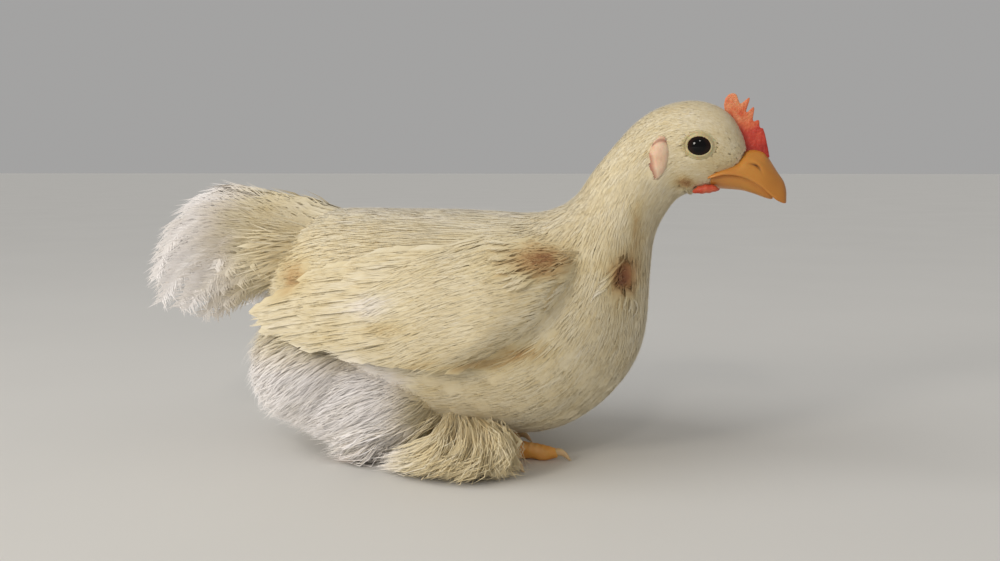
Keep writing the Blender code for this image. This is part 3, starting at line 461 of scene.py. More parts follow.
points = vertsOf(skinForm)
setPointValues(skinForm, "tone", toneAt(points) + skin["tone"])
setPointValues(skinForm, "shade", np.full(len(points), skin["shade"]))
corners = np.empty(len(skinForm.data.loops), np.int32)
skinForm.data.loops.foreach_get("vertex_index", corners)
skinUv = unwrapAt(points)[corners].reshape(-1, 4, 2)  # four corners to each remeshed face
acrossSeam = skinUv[..., 0].max(1, keepdims=True) - skinUv[..., 0] > 0.5
skinUv[..., 0] += np.where(acrossSeam, unwrap["wide"], 0)
setBakeMap(skinForm, skinUv)
finishPiece(skinForm, bareSkin, [
    "torso", "neck", "head", "abdomen", "tail", "thigh_right", "thigh_left", "wing_right", "wing_left",
])
print("skin", len(skinForm.data.polygons), "faces")


# Feathers: every barb, shaft and vane is a thin closed blade with a ridge on its outer face
feather = {
    "points": 3, "barbEnd": 1.2, "curve": 1.5,  # to a barb, where barbs aim, and how soon they turn out
    "barbRidge": 0.12, "barbLean": 0.25, "tip": 0.97,
    "jitter": 0.45, "sweepSpread": 0.6, "reachSpread": (-0.55, 0.30), "straying": 0.35,
    "parts": [("vane", 0.05, -0.02), ("shaft", 0.4, 0.015)],  # ridge, and height over the feather's middle
    "vary": (0.85, 1.15),  # share of the length and width
    "floorClear": 0.0003,  # feathers stay this far above the floor
    "relief": 0.08,  # share of its own slant that a blade's face keeps; the rest follows the lie of the coat
    "underside": -0.2,  # faces turned further from the coat's lie than this keep their own slant
    "testPoints": 9,
    "shade": (0.56, 0.42, 0.05), "shadeSpread": 0.05,  # at the root, gained to the tip, lost to the rims
}
silk = {  # a plain strand; blunt and peak shape its outline, tipTone whitens its tip
    "barbs": 0, "vane": 1.0, "shaft": 0, "steps": 3, "blunt": 0.45, "peak": 1.2,
    "toneShift": 0, "toneSpread": 0.035, "tipTone": 0.05, "overBare": False,
}
under = dict(silk, steps=4, blunt=0.6, toneSpread=0.01)  # broad down that closes the gaps
halo = dict(silk, blunt=0.14, toneShift=0.05, toneSpread=0.03)  # hair-fine filoplumes
hair = dict(silk, toneSpread=0.05, tipTone=0.10)


def blades(paths, ups, widths, ridge):
    ahead = np.gradient(paths, axis=1)
    across = unit(np.cross(ahead, ups))
    count, points = paths.shape[:2]
    rims = points - 1
    half = across[:, :rims] * widths[..., None] / 2
    crest = ups[:, :rims] * widths[..., None] * ridge
    at = paths[:, :rims]
    rings = np.stack([at - half, at + half, at + crest], 2).reshape(count, rims * 3, 3)
    verts = np.concatenate([rings, paths[:, rims:]], 1)
    lie = np.concatenate([np.repeat(ups[:, :rims], 3, 1), ups[:, rims:]], 1)
    faces = [(0, 1, 2)]
    edges = ((0, 1), (1, 2), (2, 0))
    for near in range(0, 3 * (rims - 1), 3):
        for i, j in edges:
            faces += [(near + i, near + 3 + i, near + 3 + j), (near + i, near + 3 + j, near + j)]
    last = 3 * (rims - 1)
    faces += [(last + i, 3 * rims, last + j) for i, j in edges]
    faces = np.array(faces)[None] + (np.arange(count) * verts.shape[1])[:, None, None]
    return verts, faces, lie


def throughFour(points, t):  # the smooth curve through four points a third apart
    t = t[..., None]
    a = -4.5 * (t - 1 / 3) * (t - 2 / 3) * (t - 1)
    b = 13.5 * t * (t - 2 / 3) * (t - 1)
    c = -13.5 * t * (t - 1 / 3) * (t - 1)
    d = 4.5 * t * (t - 1 / 3) * (t - 2 / 3)
    spread = [points[:, k].reshape(len(points), *([1] * (t.ndim - 2)), 3) for k in range(4)]
    return a * spread[0] + b * spread[1] + c * spread[2] + d * spread[3]


def featherMesh(curve, ups, width, spec):
    # curve and ups hold four points a feather, root to tip; spec holds the form that its feathers share
    count = len(curve)
    parts = []

    def outline(t):  # width along the shaft, as a share
        bulge = np.sin(np.pi * np.clip(t, 0, 1) ** spec["peak"]) ** 0.65
        return spec["blunt"] + (1 - spec["blunt"]) * bulge

    def framed(t):
        at, up = throughFour(curve, t), unit(throughFour(ups, t))
        ahead = unit(throughFour(curve, t + 0.02) - at)
        return at, up, unit(np.cross(ahead, up))

    def keep(verts, faces, lie, local):  # local holds each path point's place across and along the feather
        local = local.reshape(len(verts), -1, 2)
        local = np.concatenate([np.repeat(local[:, :-1], 3, 1), local[:, -1:]], 1).reshape(-1, 2)
        owner = np.repeat(np.arange(count), len(local) // count)
        parts.append((verts.reshape(-1, 3), faces.reshape(-1, 3), lie.reshape(-1, 3), local, owner))

    if spec["barbs"]:
        barbs, loose, points = spec["barbs"], spec["loose"], feather["points"]
        length = np.linalg.norm(np.diff(curve, axis=1), axis=-1).sum(1)[:, None, None, None]
        half = width[:, None, None, None] / 2
        base = spec["clear"] + (1 - spec["clear"]) * ((np.arange(barbs) + 0.5) / barbs)[None, None, :, None]
        base = base + rng.uniform(-feather["jitter"], feather["jitter"], (count, 2, barbs, 1)) / barbs
        drawn = rng.uniform(-feather["sweepSpread"], feather["sweepSpread"], base.shape)
        end = base + spec["sweep"] * (1 + loose * drawn) * (feather["barbEnd"] - base)
        side = np.array([-1, 1])[None, :, None, None]
        reach = outline(end) * (1 + loose * rng.uniform(*feather["reachSpread"], base.shape))
        f = np.linspace(0, 1, points)[None, None, None]
        t = base + (end - base) * f
        sideways = side * half * reach * (1 - (1 - f) ** feather["curve"])
        sideways = sideways + half * loose * rng.normal(0, feather["straying"], base.shape) * f ** 2
        lift = -spec["camber"] * half * 2 * (sideways / half) ** 2
        lift = lift + length * spec["ruffle"] * rng.normal(0, 1, base.shape) * f ** 1.6
        at, up, cross = framed(t)
        paths = (at + cross * sideways[..., None] + up * lift[..., None]).reshape(-1, points, 3)
        leaned = unit(up - cross * side[..., None] * feather["barbLean"]).reshape(-1, points, 3)
        tapering = spec["barb"] * np.linspace(1, spec["taper"], points - 1)
        widths = np.broadcast_to(tapering, (len(paths), points - 1))
        local = np.stack([sideways / half / 2, t], -1)
        keep(*blades(paths, leaned, widths, feather["barbRidge"]), local)

    for part, ridge, height in feather["parts"]:
        if spec[part]:
            t = np.broadcast_to(np.linspace(0, feather["tip"], spec["steps"]), (count, spec["steps"]))
            at, up, _ = framed(t)
            at = at + up * (width * height)[:, None, None]
            profile = outline(t[:, :-1]) if part == "vane" else np.linspace(1, 0.4, spec["steps"] - 1)[None]
            keep(*blades(at, up, width[:, None] * spec[part] * profile, ridge), np.stack([0 * t, t], -1))
    return parts


def leanNormals(made, verts, faces, lie):
    a, b, c = (verts[faces[:, i]] for i in range(3))
    own = unit(np.cross(b - a, c - a))[:, None]
    coat = lie[faces]
    facing = (own * coat.mean(1, keepdims=True)).sum(-1, keepdims=True)
    share = np.where(facing < feather["underside"], 2, feather["relief"])
    made.data.normals_split_custom_set(unit(own * share + coat).reshape(-1, 3))


def clearOf(points, spots):  # True where a point is outside every spot, each a place and half sizes
    keep = np.ones(points.shape[:-1], bool)
    for at, size in spots:
        keep &= (((bothSides(points) - np.array(at)) / np.array(size)) ** 2).sum(-1) > 1
    return keep


# Left out, alike on both sides
bareSpots = [  # roots stay out of the eye, lobe, bill, comb and wattle
    ((0.0798, 0.0118, 0.1049), (0.0052, 0.006, 0.0047)), ((0.0678, 0.0130, 0.1012), (0.0026, 0.004, 0.0060)),
    ((0.0932, 0, 0.0955), (0.0048, 0.012, 0.0046)), ((0.0920, 0, 0.1085), (0.0055, 0.0014, 0.009)),
    ((0.0811, 0.0070, 0.0914), (0.0036, 0.003, 0.0013)),
]
barePatches = [  # no feather crosses these: the eye, the neck base and the shoulder
    ((0.0795, 0.0125, 0.1048), (0.0048, 0.004, 0.0041)), ((0.0570, 0.020, 0.0645), (0.0028, 0.010, 0.0040)),
    ((0.0300, 0.036, 0.0725), (0.0034, 0.010, 0.0010)), ((0.0350, 0.036, 0.0703), (0.0040, 0.010, 0.0020)),
    ((0.0385, 0.034, 0.0680), (0.0022, 0.010, 0.0020)),
]
hidden = [  # boxes whose feathers other parts cover: under the wing, and above the belly fluff
    ((-0.030, 0.028, 0.046), (0.024, 0.060, 0.066)), ((-0.080, -0.018, 0.000), (-0.034, 0.018, 0.034)),
]


def coatPiece(name, tracts):  # one joined mesh of many feathers; a tract is curve, ups, width and spec
    verts, faces, lies, uvs, tones, shades = [], [], [], [], [], []
    start = 0
    for curve, ups, width, spec in tracts:
        if not spec["overBare"]:
            t = np.linspace(0, 1, feather["testPoints"])
            clear = clearOf(throughFour(curve, np.broadcast_to(t, (len(curve), len(t)))), barePatches).all(1)
            curve, ups, width = curve[clear], ups[clear], width[clear]
        rootUv = unwrapAt(curve[:, 0])
        ownTone = spec["toneShift"] + rng.normal(0, spec["toneSpread"], len(curve))
        ownShade = rng.normal(0, feather["shadeSpread"], len(curve))
        rootShade, tipGain, rimLoss = feather["shade"]
        for points, triangles, lie, local, owner in featherMesh(curve, ups, width, spec):
            verts.append(points)
            lies.append(lie)
            faces.append(triangles + start)
            start += len(points)
            uvs.append(rootUv[owner] + unwrap["patch"] * (local - np.array((0, 0.5))))
            across, along = local.T
            tones.append(toneAt(points) + ownTone[owner] + spec["tipTone"] * (along - 0.5))
            shade = rootShade + ownShade[owner] + tipGain * np.clip(along, 0, 1)
            shades.append(shade - rimLoss * np.abs(across))
    verts, faces, uvs = np.concatenate(verts), np.concatenate(faces), np.concatenate(uvs)
    verts[:, 2] = np.maximum(verts[:, 2], feather["floorClear"])
    mesh = bpy.data.meshes.new(name)
    mesh.vertices.add(len(verts))
    mesh.vertices.foreach_set("co", verts.astype(np.float32).ravel())
    mesh.loops.add(faces.size)
    mesh.loops.foreach_set("vertex_index", faces.astype(np.int32).ravel())
    mesh.polygons.add(len(faces))
    mesh.polygons.foreach_set("loop_start", np.arange(0, faces.size, 3, dtype=np.int32))
    mesh.update(calc_edges=True)
    made = bpy.data.objects.new(name, mesh)
    bpy.context.scene.collection.objects.link(made)
    setPointValues(made, "tone", np.clip(np.concatenate(tones), 0, 1))
    setPointValues(made, "shade", np.clip(np.concatenate(shades), 0, 1))
    setBakeMap(made, uvs[faces.ravel()])
    finishPiece(made, plumage, [])
    leanNormals(made, verts, faces, np.concatenate(lies))
    print(name, len(faces), "triangles")


def varied(width, count):
    return width * rng.uniform(*feather["vary"], count)


def mirroredTract(tract):
    curve, ups, width, spec = tract
    flip = np.array((1, -1, 1))
    return curve * flip, ups * flip, width, spec


# Roots over the body, and the feathers that grow from them
lay = {
    "thick": 0.6, "apart": 0.82,  # shares of a tract's gap: that roots are drawn at, and that they keep
    "heights": (-0.75, -0.11, -0.03, 0.0),  # a feather's four points in coat depths, root to tip
    "stands": (0, 0, 0.4, 1),  # how much of the tract's stand each of them takes
    "swerve": 0.10, "layer": 0.04,  # spread of the heading and of the depth
    "slowest": (0.0004, 0.0002),  # smallest steps along and round the body, in metres
    "rumpEdge": 20,  # feathers past this station trail straight on instead of closing over the rump
}


def spreadRoots(first, last, gap):  # roots about gap apart over stations first to last of the body rows
    low, high = int(first * perRow), int(last * perRow)
    stepS = np.linalg.norm(np.gradient(bodyOut, axis=0), axis=-1)[low:high]
    stepT = np.linalg.norm(np.roll(bodyOut, -1, 1) - bodyOut, axis=-1)[low:high]
    count = rng.poisson((stepS * stepT) / gap ** 2)
    i, j = np.nonzero(count)
    repeat = count[i, j]
    s = np.repeat(i, repeat) + low + rng.uniform(0, 1, repeat.sum())
    theta = np.repeat(j, repeat) + rng.uniform(0, 1, repeat.sum())
    return s, theta


def evenly(points, gap):  # True for points that stay at least gap apart
    tree = KDTree(len(points))
    for i, point in enumerate(points):
        tree.insert(point, i)
    tree.balance()
    keep = np.ones(len(points), bool)
    for i, point in enumerate(points):
        if keep[i]:
            for _, j, _ in tree.find_range(point, gap):
                keep[j] &= j <= i
    return keep


def bodyTract(first, last, gap, length, width, spec, drift, stand, within=None):
    s, theta = spreadRoots(first, last, gap * lay["thick"])
    chosen = evenly(bodyAt(s, theta, bodyOut), gap * lay["apart"])
    s, theta = s[chosen], theta[chosen]
    roots = bodyAt(s, theta, bodyOut)
    chosen = clearOf(roots, bareSpots)
    for low, high in hidden:
        chosen &= ~((bothSides(roots) > np.array(low)) & (bothSides(roots) < np.array(high))).all(-1)
    if within:
        chosen &= within(roots)
    s, theta = s[chosen], theta[chosen]
    lengths = varied(length, len(s))
    speed = np.linalg.norm(bodyAt(s + 0.5, theta, bodyOut) - bodyAt(s - 0.5, theta, bodyOut), axis=-1)
    speedT = np.linalg.norm(bodyAt(s, theta + 0.5, bodyOut) - bodyAt(s, theta - 0.5, bodyOut), axis=-1)
    slowest, slowestT = lay["slowest"]
    swerve = rng.normal(0, lay["swerve"], len(s)) - drift * np.cos(2 * np.pi * theta / body["sides"])
    depth = np.interp(s, np.arange(body["stations"]), bodyDepth)
    edge = np.minimum(s, lay["rumpEdge"])
    layer = rng.normal(0, lay["layer"], len(s))
    curve, ups = [], []
    for k in range(4):
        run = lengths * k / 3
        sk = s - run / np.maximum(speed, slowest)
        thetaK = theta + swerve * run / np.maximum(speedT, slowestT)
        held = np.maximum(sk, edge)
        trail = (bodyAt(edge, thetaK, bodyOut) - bodyAt(edge + 1, thetaK, bodyOut)) * (held - sk)[:, None]
        normal = unit(bodyAt(held, thetaK, bodyNormal))
        height = depth * (lay["heights"][k] + stand * lay["stands"][k] + layer)
        curve.append(bodyAt(held, thetaK, bodyOut) + trail + normal * height[:, None])
        ups.append(normal)
    return np.stack(curve, 1), np.stack(ups, 1), varied(width, len(s)), spec


# Contour feathers of trunk, neck and head over an undercoat, with a thin halo of filoplumes
# Each piece's tracts: first and last row, gap, length, width, kind, drift and stand; and where they grow
flank = [
    (1.0, 9.3, 0.0032, 0.0110, 0.0056, under, 0.30, -0.2),
    (1.0, 9.3, 0.00092, 0.0120, 0.00054, silk, 0.30, 0.0),
]
contour = {
    "coat_back": ([
        (0.4, 9.3, 0.0032, 0.0110, 0.0056, under, 0.35, -0.2),
        (0.4, 9.3, 0.00088, 0.0130, 0.00052, silk, 0.35, 0.0),
    ], lambda at: at[:, 2] > 0.060),
    "coat_flank_right": (flank, lambda at: (at[:, 2] <= 0.060) & (at[:, 1] <= 0)),
    "coat_flank_left": (flank, lambda at: (at[:, 2] <= 0.060) & (at[:, 1] >= 0)),
    "coat_neck": ([
        (8.8, 13.6, 0.0019, 0.0065, 0.0034, under, 0.10, -0.2),
        (8.9, 11.5, 0.00078, 0.0090, 0.00048, silk, 0.20, 0.1),
        (11.2, 13.6, 0.00070, 0.0070, 0.00044, silk, 0.10, 0.2),
    ], None),
    "coat_halo": ([
        (0.4, 9.0, 0.0025, 0.0095, 0.00022, halo, 0.30, 0.35),
        (8.8, 14.0, 0.0013, 0.0060, 0.00018, halo, 0.10, 0.45),
        (13.6, 18.4, 0.0010, 0.0034, 0.00014, halo, 0.05, 0.9),
    ], None),
    "coat_head": ([  # shorter towards the bill
        (13.2, 15.4, 0.0011, 0.0034, 0.0015, under, 0.05, -0.35),
        (15.2, 18.9, 0.0008, 0.0017, 0.0012, under, 0.05, -0.35),
        (13.2, 15.0, 0.00062, 0.0046, 0.00044, hair, 0.05, 0.25),
        (14.8, 17.0, 0.00056, 0.0030, 0.00036, hair, 0.05, 0.25),
        (15.2, 17.4, 0.00066, 0.0016, 0.00034, hair, 0.05, 0.25),
        (16.8, 18.8, 0.00048, 0.0020, 0.00032, hair, 0.05, 0.25),
    ], None),
}
for piece, (rows, within) in contour.items():
    coatPiece(piece, [bodyTract(*row, within) for row in rows])


# Wings
wing = {
    "flank": [  # x and half width of the flank that the wing lies along
        (-0.090, 0.0225), (-0.075, 0.0265), (-0.060, 0.0325), (-0.042, 0.0390), (-0.022, 0.0435),
        (0.000, 0.0455), (0.018, 0.0445), (0.032, 0.0405), (0.044, 0.0350), (0.052, 0.0300),
    ],
    "middle": 0.046, "rise": 0.042,
    "tiers": [  # feathers, first and last root, top, middle and bottom tip, place under the outside
        (9, (-0.004, 0.0680), (0.016, 0.0425), (-0.063, 0.0530), (-0.0655, 0.0420), (-0.006, 0.0355), -0.0017),
        (9, (0.006, 0.0700), (0.027, 0.0440), (-0.046, 0.0640), (-0.0470, 0.0480), (0.000, 0.0375), -0.0011),
        (8, (0.018, 0.0725), (0.036, 0.0470), (-0.028, 0.0700), (-0.0290, 0.0530), (0.006, 0.0395), -0.0005),
    ],
    "layers": [  # count, length, width, sink and kind
        (170, 0.0150, 0.00056, 0.0, silk), (24, 0.0130, 0.0044, 0.0007, under),
    ],
    "coverts": [  # gap, length, width, sink and kind
        (0.0030, 0.0110, 0.0046, 0.0006, under), (0.00080, 0.0130, 0.00052, 0.0, silk),
    ],
    "lap": 0.62, "step": 0.00065, "tipRound": 0.10,  # each laps the next, with a raised edge and a round end
    "arch": 0.0025,  # how far a long feather bends up
    "reach": [  # x, and the lowest and highest covert there
        (-0.010, 0.0600, 0.0640), (-0.004, 0.0520, 0.0690), (0.004, 0.0440, 0.0730), (0.013, 0.0405, 0.0770),
        (0.0255, 0.0425, 0.0770), (0.034, 0.0480, 0.0750), (0.040, 0.0555, 0.0745), (0.046, 0.0620, 0.0735),
        (0.050, 0.0670, 0.0710),
    ],
    "thick": [(-0.070, 0.0010), (-0.040, 0.0024), (-0.005, 0.0042), (0.022, 0.0046), (0.040, 0.0034)],
    "front": [  # z, and the x of the front edge there
        (0.038, 0.013), (0.041, 0.018), (0.0458, 0.0262), (0.0534, 0.0350), (0.0655, 0.0415), (0.073, 0.0430),
    ],
    "round": 0.010, "dive": 0.0110,
    "slope": [(-0.026, 30), (0.0, 25), (0.035, 16), (0.050, 12)],  # degrees down to the back, by x
    "top": 0.0785,
    "sunk": (-0.0026, -0.0008, -0.0002, 0.0),  # a feather's places under the wing's outside, root to tip
}
quarters = np.array((0, 1 / 3, 2 / 3, 1))


def wingPoint(x, z, off):  # on the outside of the folded wing, or off below it
    thick = np.interp(x, *zip(*wing["thick"])) * np.clip((wing["top"] - z) / 0.012, 0, 1) ** 0.6
    inside = (np.interp(z, *zip(*wing["front"])) - x) / wing["round"]
    thick = thick * np.clip(inside, 0, 1) ** 0.5 - wing["dive"] * np.clip(-2 * inside, 0, 1)
    rise = np.clip((z - wing["middle"]) / wing["rise"], -0.98, 0.98)
    half = np.interp(x, *zip(*wing["flank"])) * np.sqrt(1 - rise ** 2)
    return np.stack([x, -(half + thick + off), z], -1)


def wingOut(x, z):
    step = 0.002
    along = wingPoint(x + step, z, 0) - wingPoint(x - step, z, 0)
    up = wingPoint(x, z + step, 0) - wingPoint(x, z - step, 0)
    return unit(np.cross(along, up))


def bentLine(start, bend, end, t):  # points of the curve from start to end, pulled towards bend
    t = t[..., None]
    return start[:, None] * (1 - t) ** 2 + bend[:, None] * (2 * t * (1 - t)) + end[:, None] * t ** 2


def wingTract(flat, height, width, spec):
    x, z = flat[..., 0], flat[..., 1]
    return wingPoint(x, z, height), wingOut(x, z), varied(width, len(flat)), spec


def tierTract(tier, strands, length, width, sink, spec):  # a tier of long feathers, each a lane of strands
    lanes, first, last, top, middle, bottom, sunk = tier
    first, last, top, middle, bottom = (np.array(p) for p in (first, last, top, middle, bottom))
    count = lanes * strands
    across = rng.uniform(-1, 1, count)
    t = np.clip((rng.integers(0, lanes, count) + 0.5 + wing["lap"] * across) / lanes, 0, 1)[:, None]
    root = first + (last - first) * t
    tip = top * (1 - t) ** 2 + (middle * 2 - (top + bottom) / 2) * (2 * t * (1 - t)) + bottom * t ** 2
    share = length * rng.uniform(0.8, 1.2, count) / np.linalg.norm(tip - root, axis=-1)
    reach = 1 - wing["tipRound"] * across ** 2 - rng.uniform(0, 0.05, count)
    end = reach - (reach - share) * rng.uniform(0, 1, count) ** 1.3
    along = end[:, None] - share[:, None] * (1 - quarters)
    flat = bentLine(root, (root + tip) / 2 + np.array((0, wing["arch"])), tip, along)
    height = np.array(wing["sunk"]) + sunk - sink + (wing["step"] * across)[:, None]
    return wingTract(flat, height, width, spec)


def covertTract(gap, length, width, sink, spec):
    reach = np.array(wing["reach"])
    spots = []
    for x in np.arange(reach[0, 0], reach[-1, 0], gap):
        low, high = (np.interp(x, reach[:, 0], reach[:, i]) for i in (1, 2))
        spots += [(x, z) for z in np.arange(low, high, gap)]
    spots = np.array(spots) + rng.uniform(-gap / 2, gap / 2, (len(spots), 2))
    lengths = varied(length, len(spots))
    slope = np.radians(np.interp(spots[:, 0], *zip(*wing["slope"])) + rng.normal(0, 4, len(spots)))
    tip = spots - np.stack([np.cos(slope), np.sin(slope)], -1) * lengths[:, None]
    flat = bentLine(spots, (spots + tip) / 2, tip, quarters[None])
    height = np.array(wing["sunk"]) - sink + rng.normal(0, 0.00008, (len(spots), 1))
    return wingTract(flat, height, width, spec)


for sideName in ("right", "left"):
    tracts = [covertTract(*layer) for layer in wing["coverts"]]
    tracts += [tierTract(tier, *layer) for tier in wing["tiers"] for layer in wing["layers"]]
    if sideName == "left":
        tracts = [mirroredTract(tract) for tract in tracts]
    coatPiece("coat_wing_" + sideName, tracts)


# Pin feathers and short down round the bare shoulder and neck
pins = {
    "quill": dict(
        silk, barbs=8, barb=0.0005, taper=0.5, vane=0.30, shaft=0.15, steps=5, loose=0.3, sweep=0.42,
        clear=0.34, blunt=0.1, camber=0.05, ruffle=0.01, toneShift=0.06, toneSpread=0.025, overBare=True,
    ),
    "heights": {  # on the wing, and off it
        True: (-0.0022, 0.0, 0.0007, 0.0006), False: (-0.0014, 0.0, 0.0005, 0.0003),
    },
    "rows": [  # on the wing, count, first and last root, first and last tip, width
        (True, 9, (0.0270, 0.0745), (0.0365, 0.0662), (0.0165, 0.0762), (0.0265, 0.0610), 0.0030),
        (True, 4, (0.0425, 0.0645), (0.0405, 0.0600), (0.0380, 0.0600), (0.0362, 0.0545), 0.0018),
        (False, 7, (0.0585, 0.0705), (0.0550, 0.0625), (0.0520, 0.0640), (0.0488, 0.0572), 0.0014),
        (False, 5, (0.0575, 0.0608), (0.0602, 0.0588), (0.0555, 0.0535), (0.0608, 0.0520), 0.0014),
    ],
    "stubble": dict(silk, toneSpread=0.05, tipTone=0.03, overBare=True),
    "stubbleWidth": 0.00040, "stubbleHeights": (-0.0020, -0.0012, -0.0007, -0.0005),
    "patches": [  # on the wing, middle, reach, count, heading in degrees, length
        (True, (0.0335, 0.0706), (0.0080, 0.0034), 520, 8, 0.0042),
        (False, (0.0572, 0.0640), (0.0030, 0.0060), 200, 60, 0.0030),
    ],
}


def sideTract(onWing, root, tip, heights, width, spec):  # straight ones, over wing or neck
    flat = bentLine(root, (root + tip) / 2, tip, quarters[None])
    x, z = flat[..., 0], flat[..., 1]
    if onWing:
        curve, ups = wingPoint(x, z, np.array(heights)), wingOut(x, z)
    else:
        right = bodyOut[..., 1] < 0
        near = ((bodyOut[right][:, [0, 2]] - flat[..., None, :]) ** 2).sum(-1).argmin(-1)
        ups = bodyNormal[right][near]
        curve = bodyOut[right][near] + ups * np.array(heights)[:, None]
    return curve, ups, np.full(len(root), width), spec


def pinTract(onWing, count, firstRoot, lastRoot, firstTip, lastTip, width):
    t = np.linspace(0, 1, count)[:, None]
    firstRoot, lastRoot, firstTip, lastTip = (np.array(p) for p in (firstRoot, lastRoot, firstTip, lastTip))
    root = firstRoot + (lastRoot - firstRoot) * t + rng.normal(0, 0.0004, (count, 2))
    tip = firstTip + (lastTip - firstTip) * t + rng.normal(0, 0.0006, (count, 2))
    return sideTract(onWing, root, tip, pins["heights"][onWing], width, pins["quill"])


def stubbleTract(onWing, middle, reach, count, heading, length):
    root = np.array(middle) + rng.normal(0, 0.55, (count, 2)) * np.array(reach)
    turn = math.radians(heading) + rng.normal(0, 0.35, count)
    tip = root - np.stack([np.cos(turn), np.sin(turn)], -1) * (length * rng.uniform(0.7, 1.3, count))[:, None]
    return sideTract(onWing, root, tip, pins["stubbleHeights"], pins["stubbleWidth"], pins["stubble"])


tracts = [pinTract(*row) for row in pins["rows"]] + [stubbleTract(*row) for row in pins["patches"]]
coatPiece("coat_pins", tracts + [mirroredTract(tract) for tract in tracts])


# Scapulars: long feathers that fall over the wing's top edge
scapulars = {
    "tract": (1.5, 8.6, 0.0013, 0.0180, 0.00054, silk, 0.42, 0.3),  # as in contour
    "low": (-0.046, 0.014, 0.0715), "high": (0.036, 1, 1),  # the box that they grow in, on both sides
}


def alongShoulder(points):
    places = bothSides(points)
    return ((places > np.array(scapulars["low"])) & (places < np.array(scapulars["high"]))).all(-1)


coatPiece("coat_scapulars", [bodyTract(*scapulars["tract"], alongShoulder)])


# Tail: soft plumes that arch over and droop
tail = {
    "rows": [  # degrees round from the top, bend and tip in the plane of symmetry
        (0, (-0.100, 0.105), (-0.1090, 0.0720)), (40, (-0.104, 0.094), (-0.1120, 0.0620)),
        (80, (-0.100, 0.080), (-0.1085, 0.0520)), (120, (-0.088, 0.064), (-0.0970, 0.0480)),
        (150, (-0.078, 0.054), (-0.0870, 0.0470)),
    ],
    "layers": [  # count, degrees to each side, share of the reach, width, x of the roots
        (22, 148, 1.00, 0.0135, -0.066), (20, 142, 0.86, 0.0135, -0.062), (18, 135, 0.72, 0.0130, -0.058),
        (18, 125, 0.57, 0.0120, -0.053), (18, 110, 0.42, 0.0105, -0.047),
    ],
    "root": (0.0725, 0.0140, 0.0112), "bendSpread": 0.018, "tipSpread": 0.024,
    "tent": (32, 30, 120, 60),  # degrees of slant, where it is full, where it ends, and how soon it fades
    "turnNoise": 2, "tipNoise": 0.0022, "vary": (0.9, 1.1),
    "plume": dict(
        silk, barbs=58, barb=0.00046, taper=0.7, vane=0.34, shaft=0.03, steps=7, loose=0.50, sweep=0.30,
        clear=0.08, peak=0.85, blunt=0.40, camber=0.06, ruffle=0.006, toneSpread=0.025, tipTone=0.10,
    ),
}


def tailTract(count, widest, reach, width, rootX):
    degrees = widest * (2 * np.arange(count) / (count - 1) - 1) + rng.normal(0, tail["turnNoise"], count)
    turn = np.radians(degrees)
    at = np.abs(degrees)
    bendX, bendZ, tipX, tipZ = (
        np.interp(at, [row[0] for row in tail["rows"]], [row[i][j] for row in tail["rows"]])
        for i in (1, 2) for j in (0, 1))
    height, spread, rise = tail["root"]
    root = np.stack([np.full(count, rootX), spread * np.sin(turn), height + rise * np.cos(turn)], -1)
    bend = np.stack([bendX, tail["bendSpread"] * np.sin(turn), bendZ], -1)
    end = np.stack([tipX, tail["tipSpread"] * np.sin(turn), tipZ], -1)
    end = end + rng.normal(0, tail["tipNoise"], (count, 3))
    curve = bentLine(root, root + (bend - root) * reach, root + (end - root) * reach, quarters[None])
    out = np.stack([0 * turn, np.sin(turn), np.cos(turn)], -1)
    across = np.stack([0 * turn, np.cos(turn), -np.sin(turn)], -1)
    ahead = unit(np.gradient(curve, axis=1))
    slant, full, ends, fade = tail["tent"]  # the plumes hang like a tent's sides
    lean = np.radians(slant) * np.clip(degrees / full, -1, 1) * np.clip((ends - at) / fade, 0, 1)
    up = (out * np.cos(lean)[:, None] + across * np.sin(lean)[:, None])[:, None]
    ups = unit(up - ahead * (up * ahead).sum(-1, keepdims=True))
    return curve, ups, width * rng.uniform(*tail["vary"], count), tail["plume"]


coatPiece("coat_tail", [tailTract(*layer) for layer in tail["layers"]])


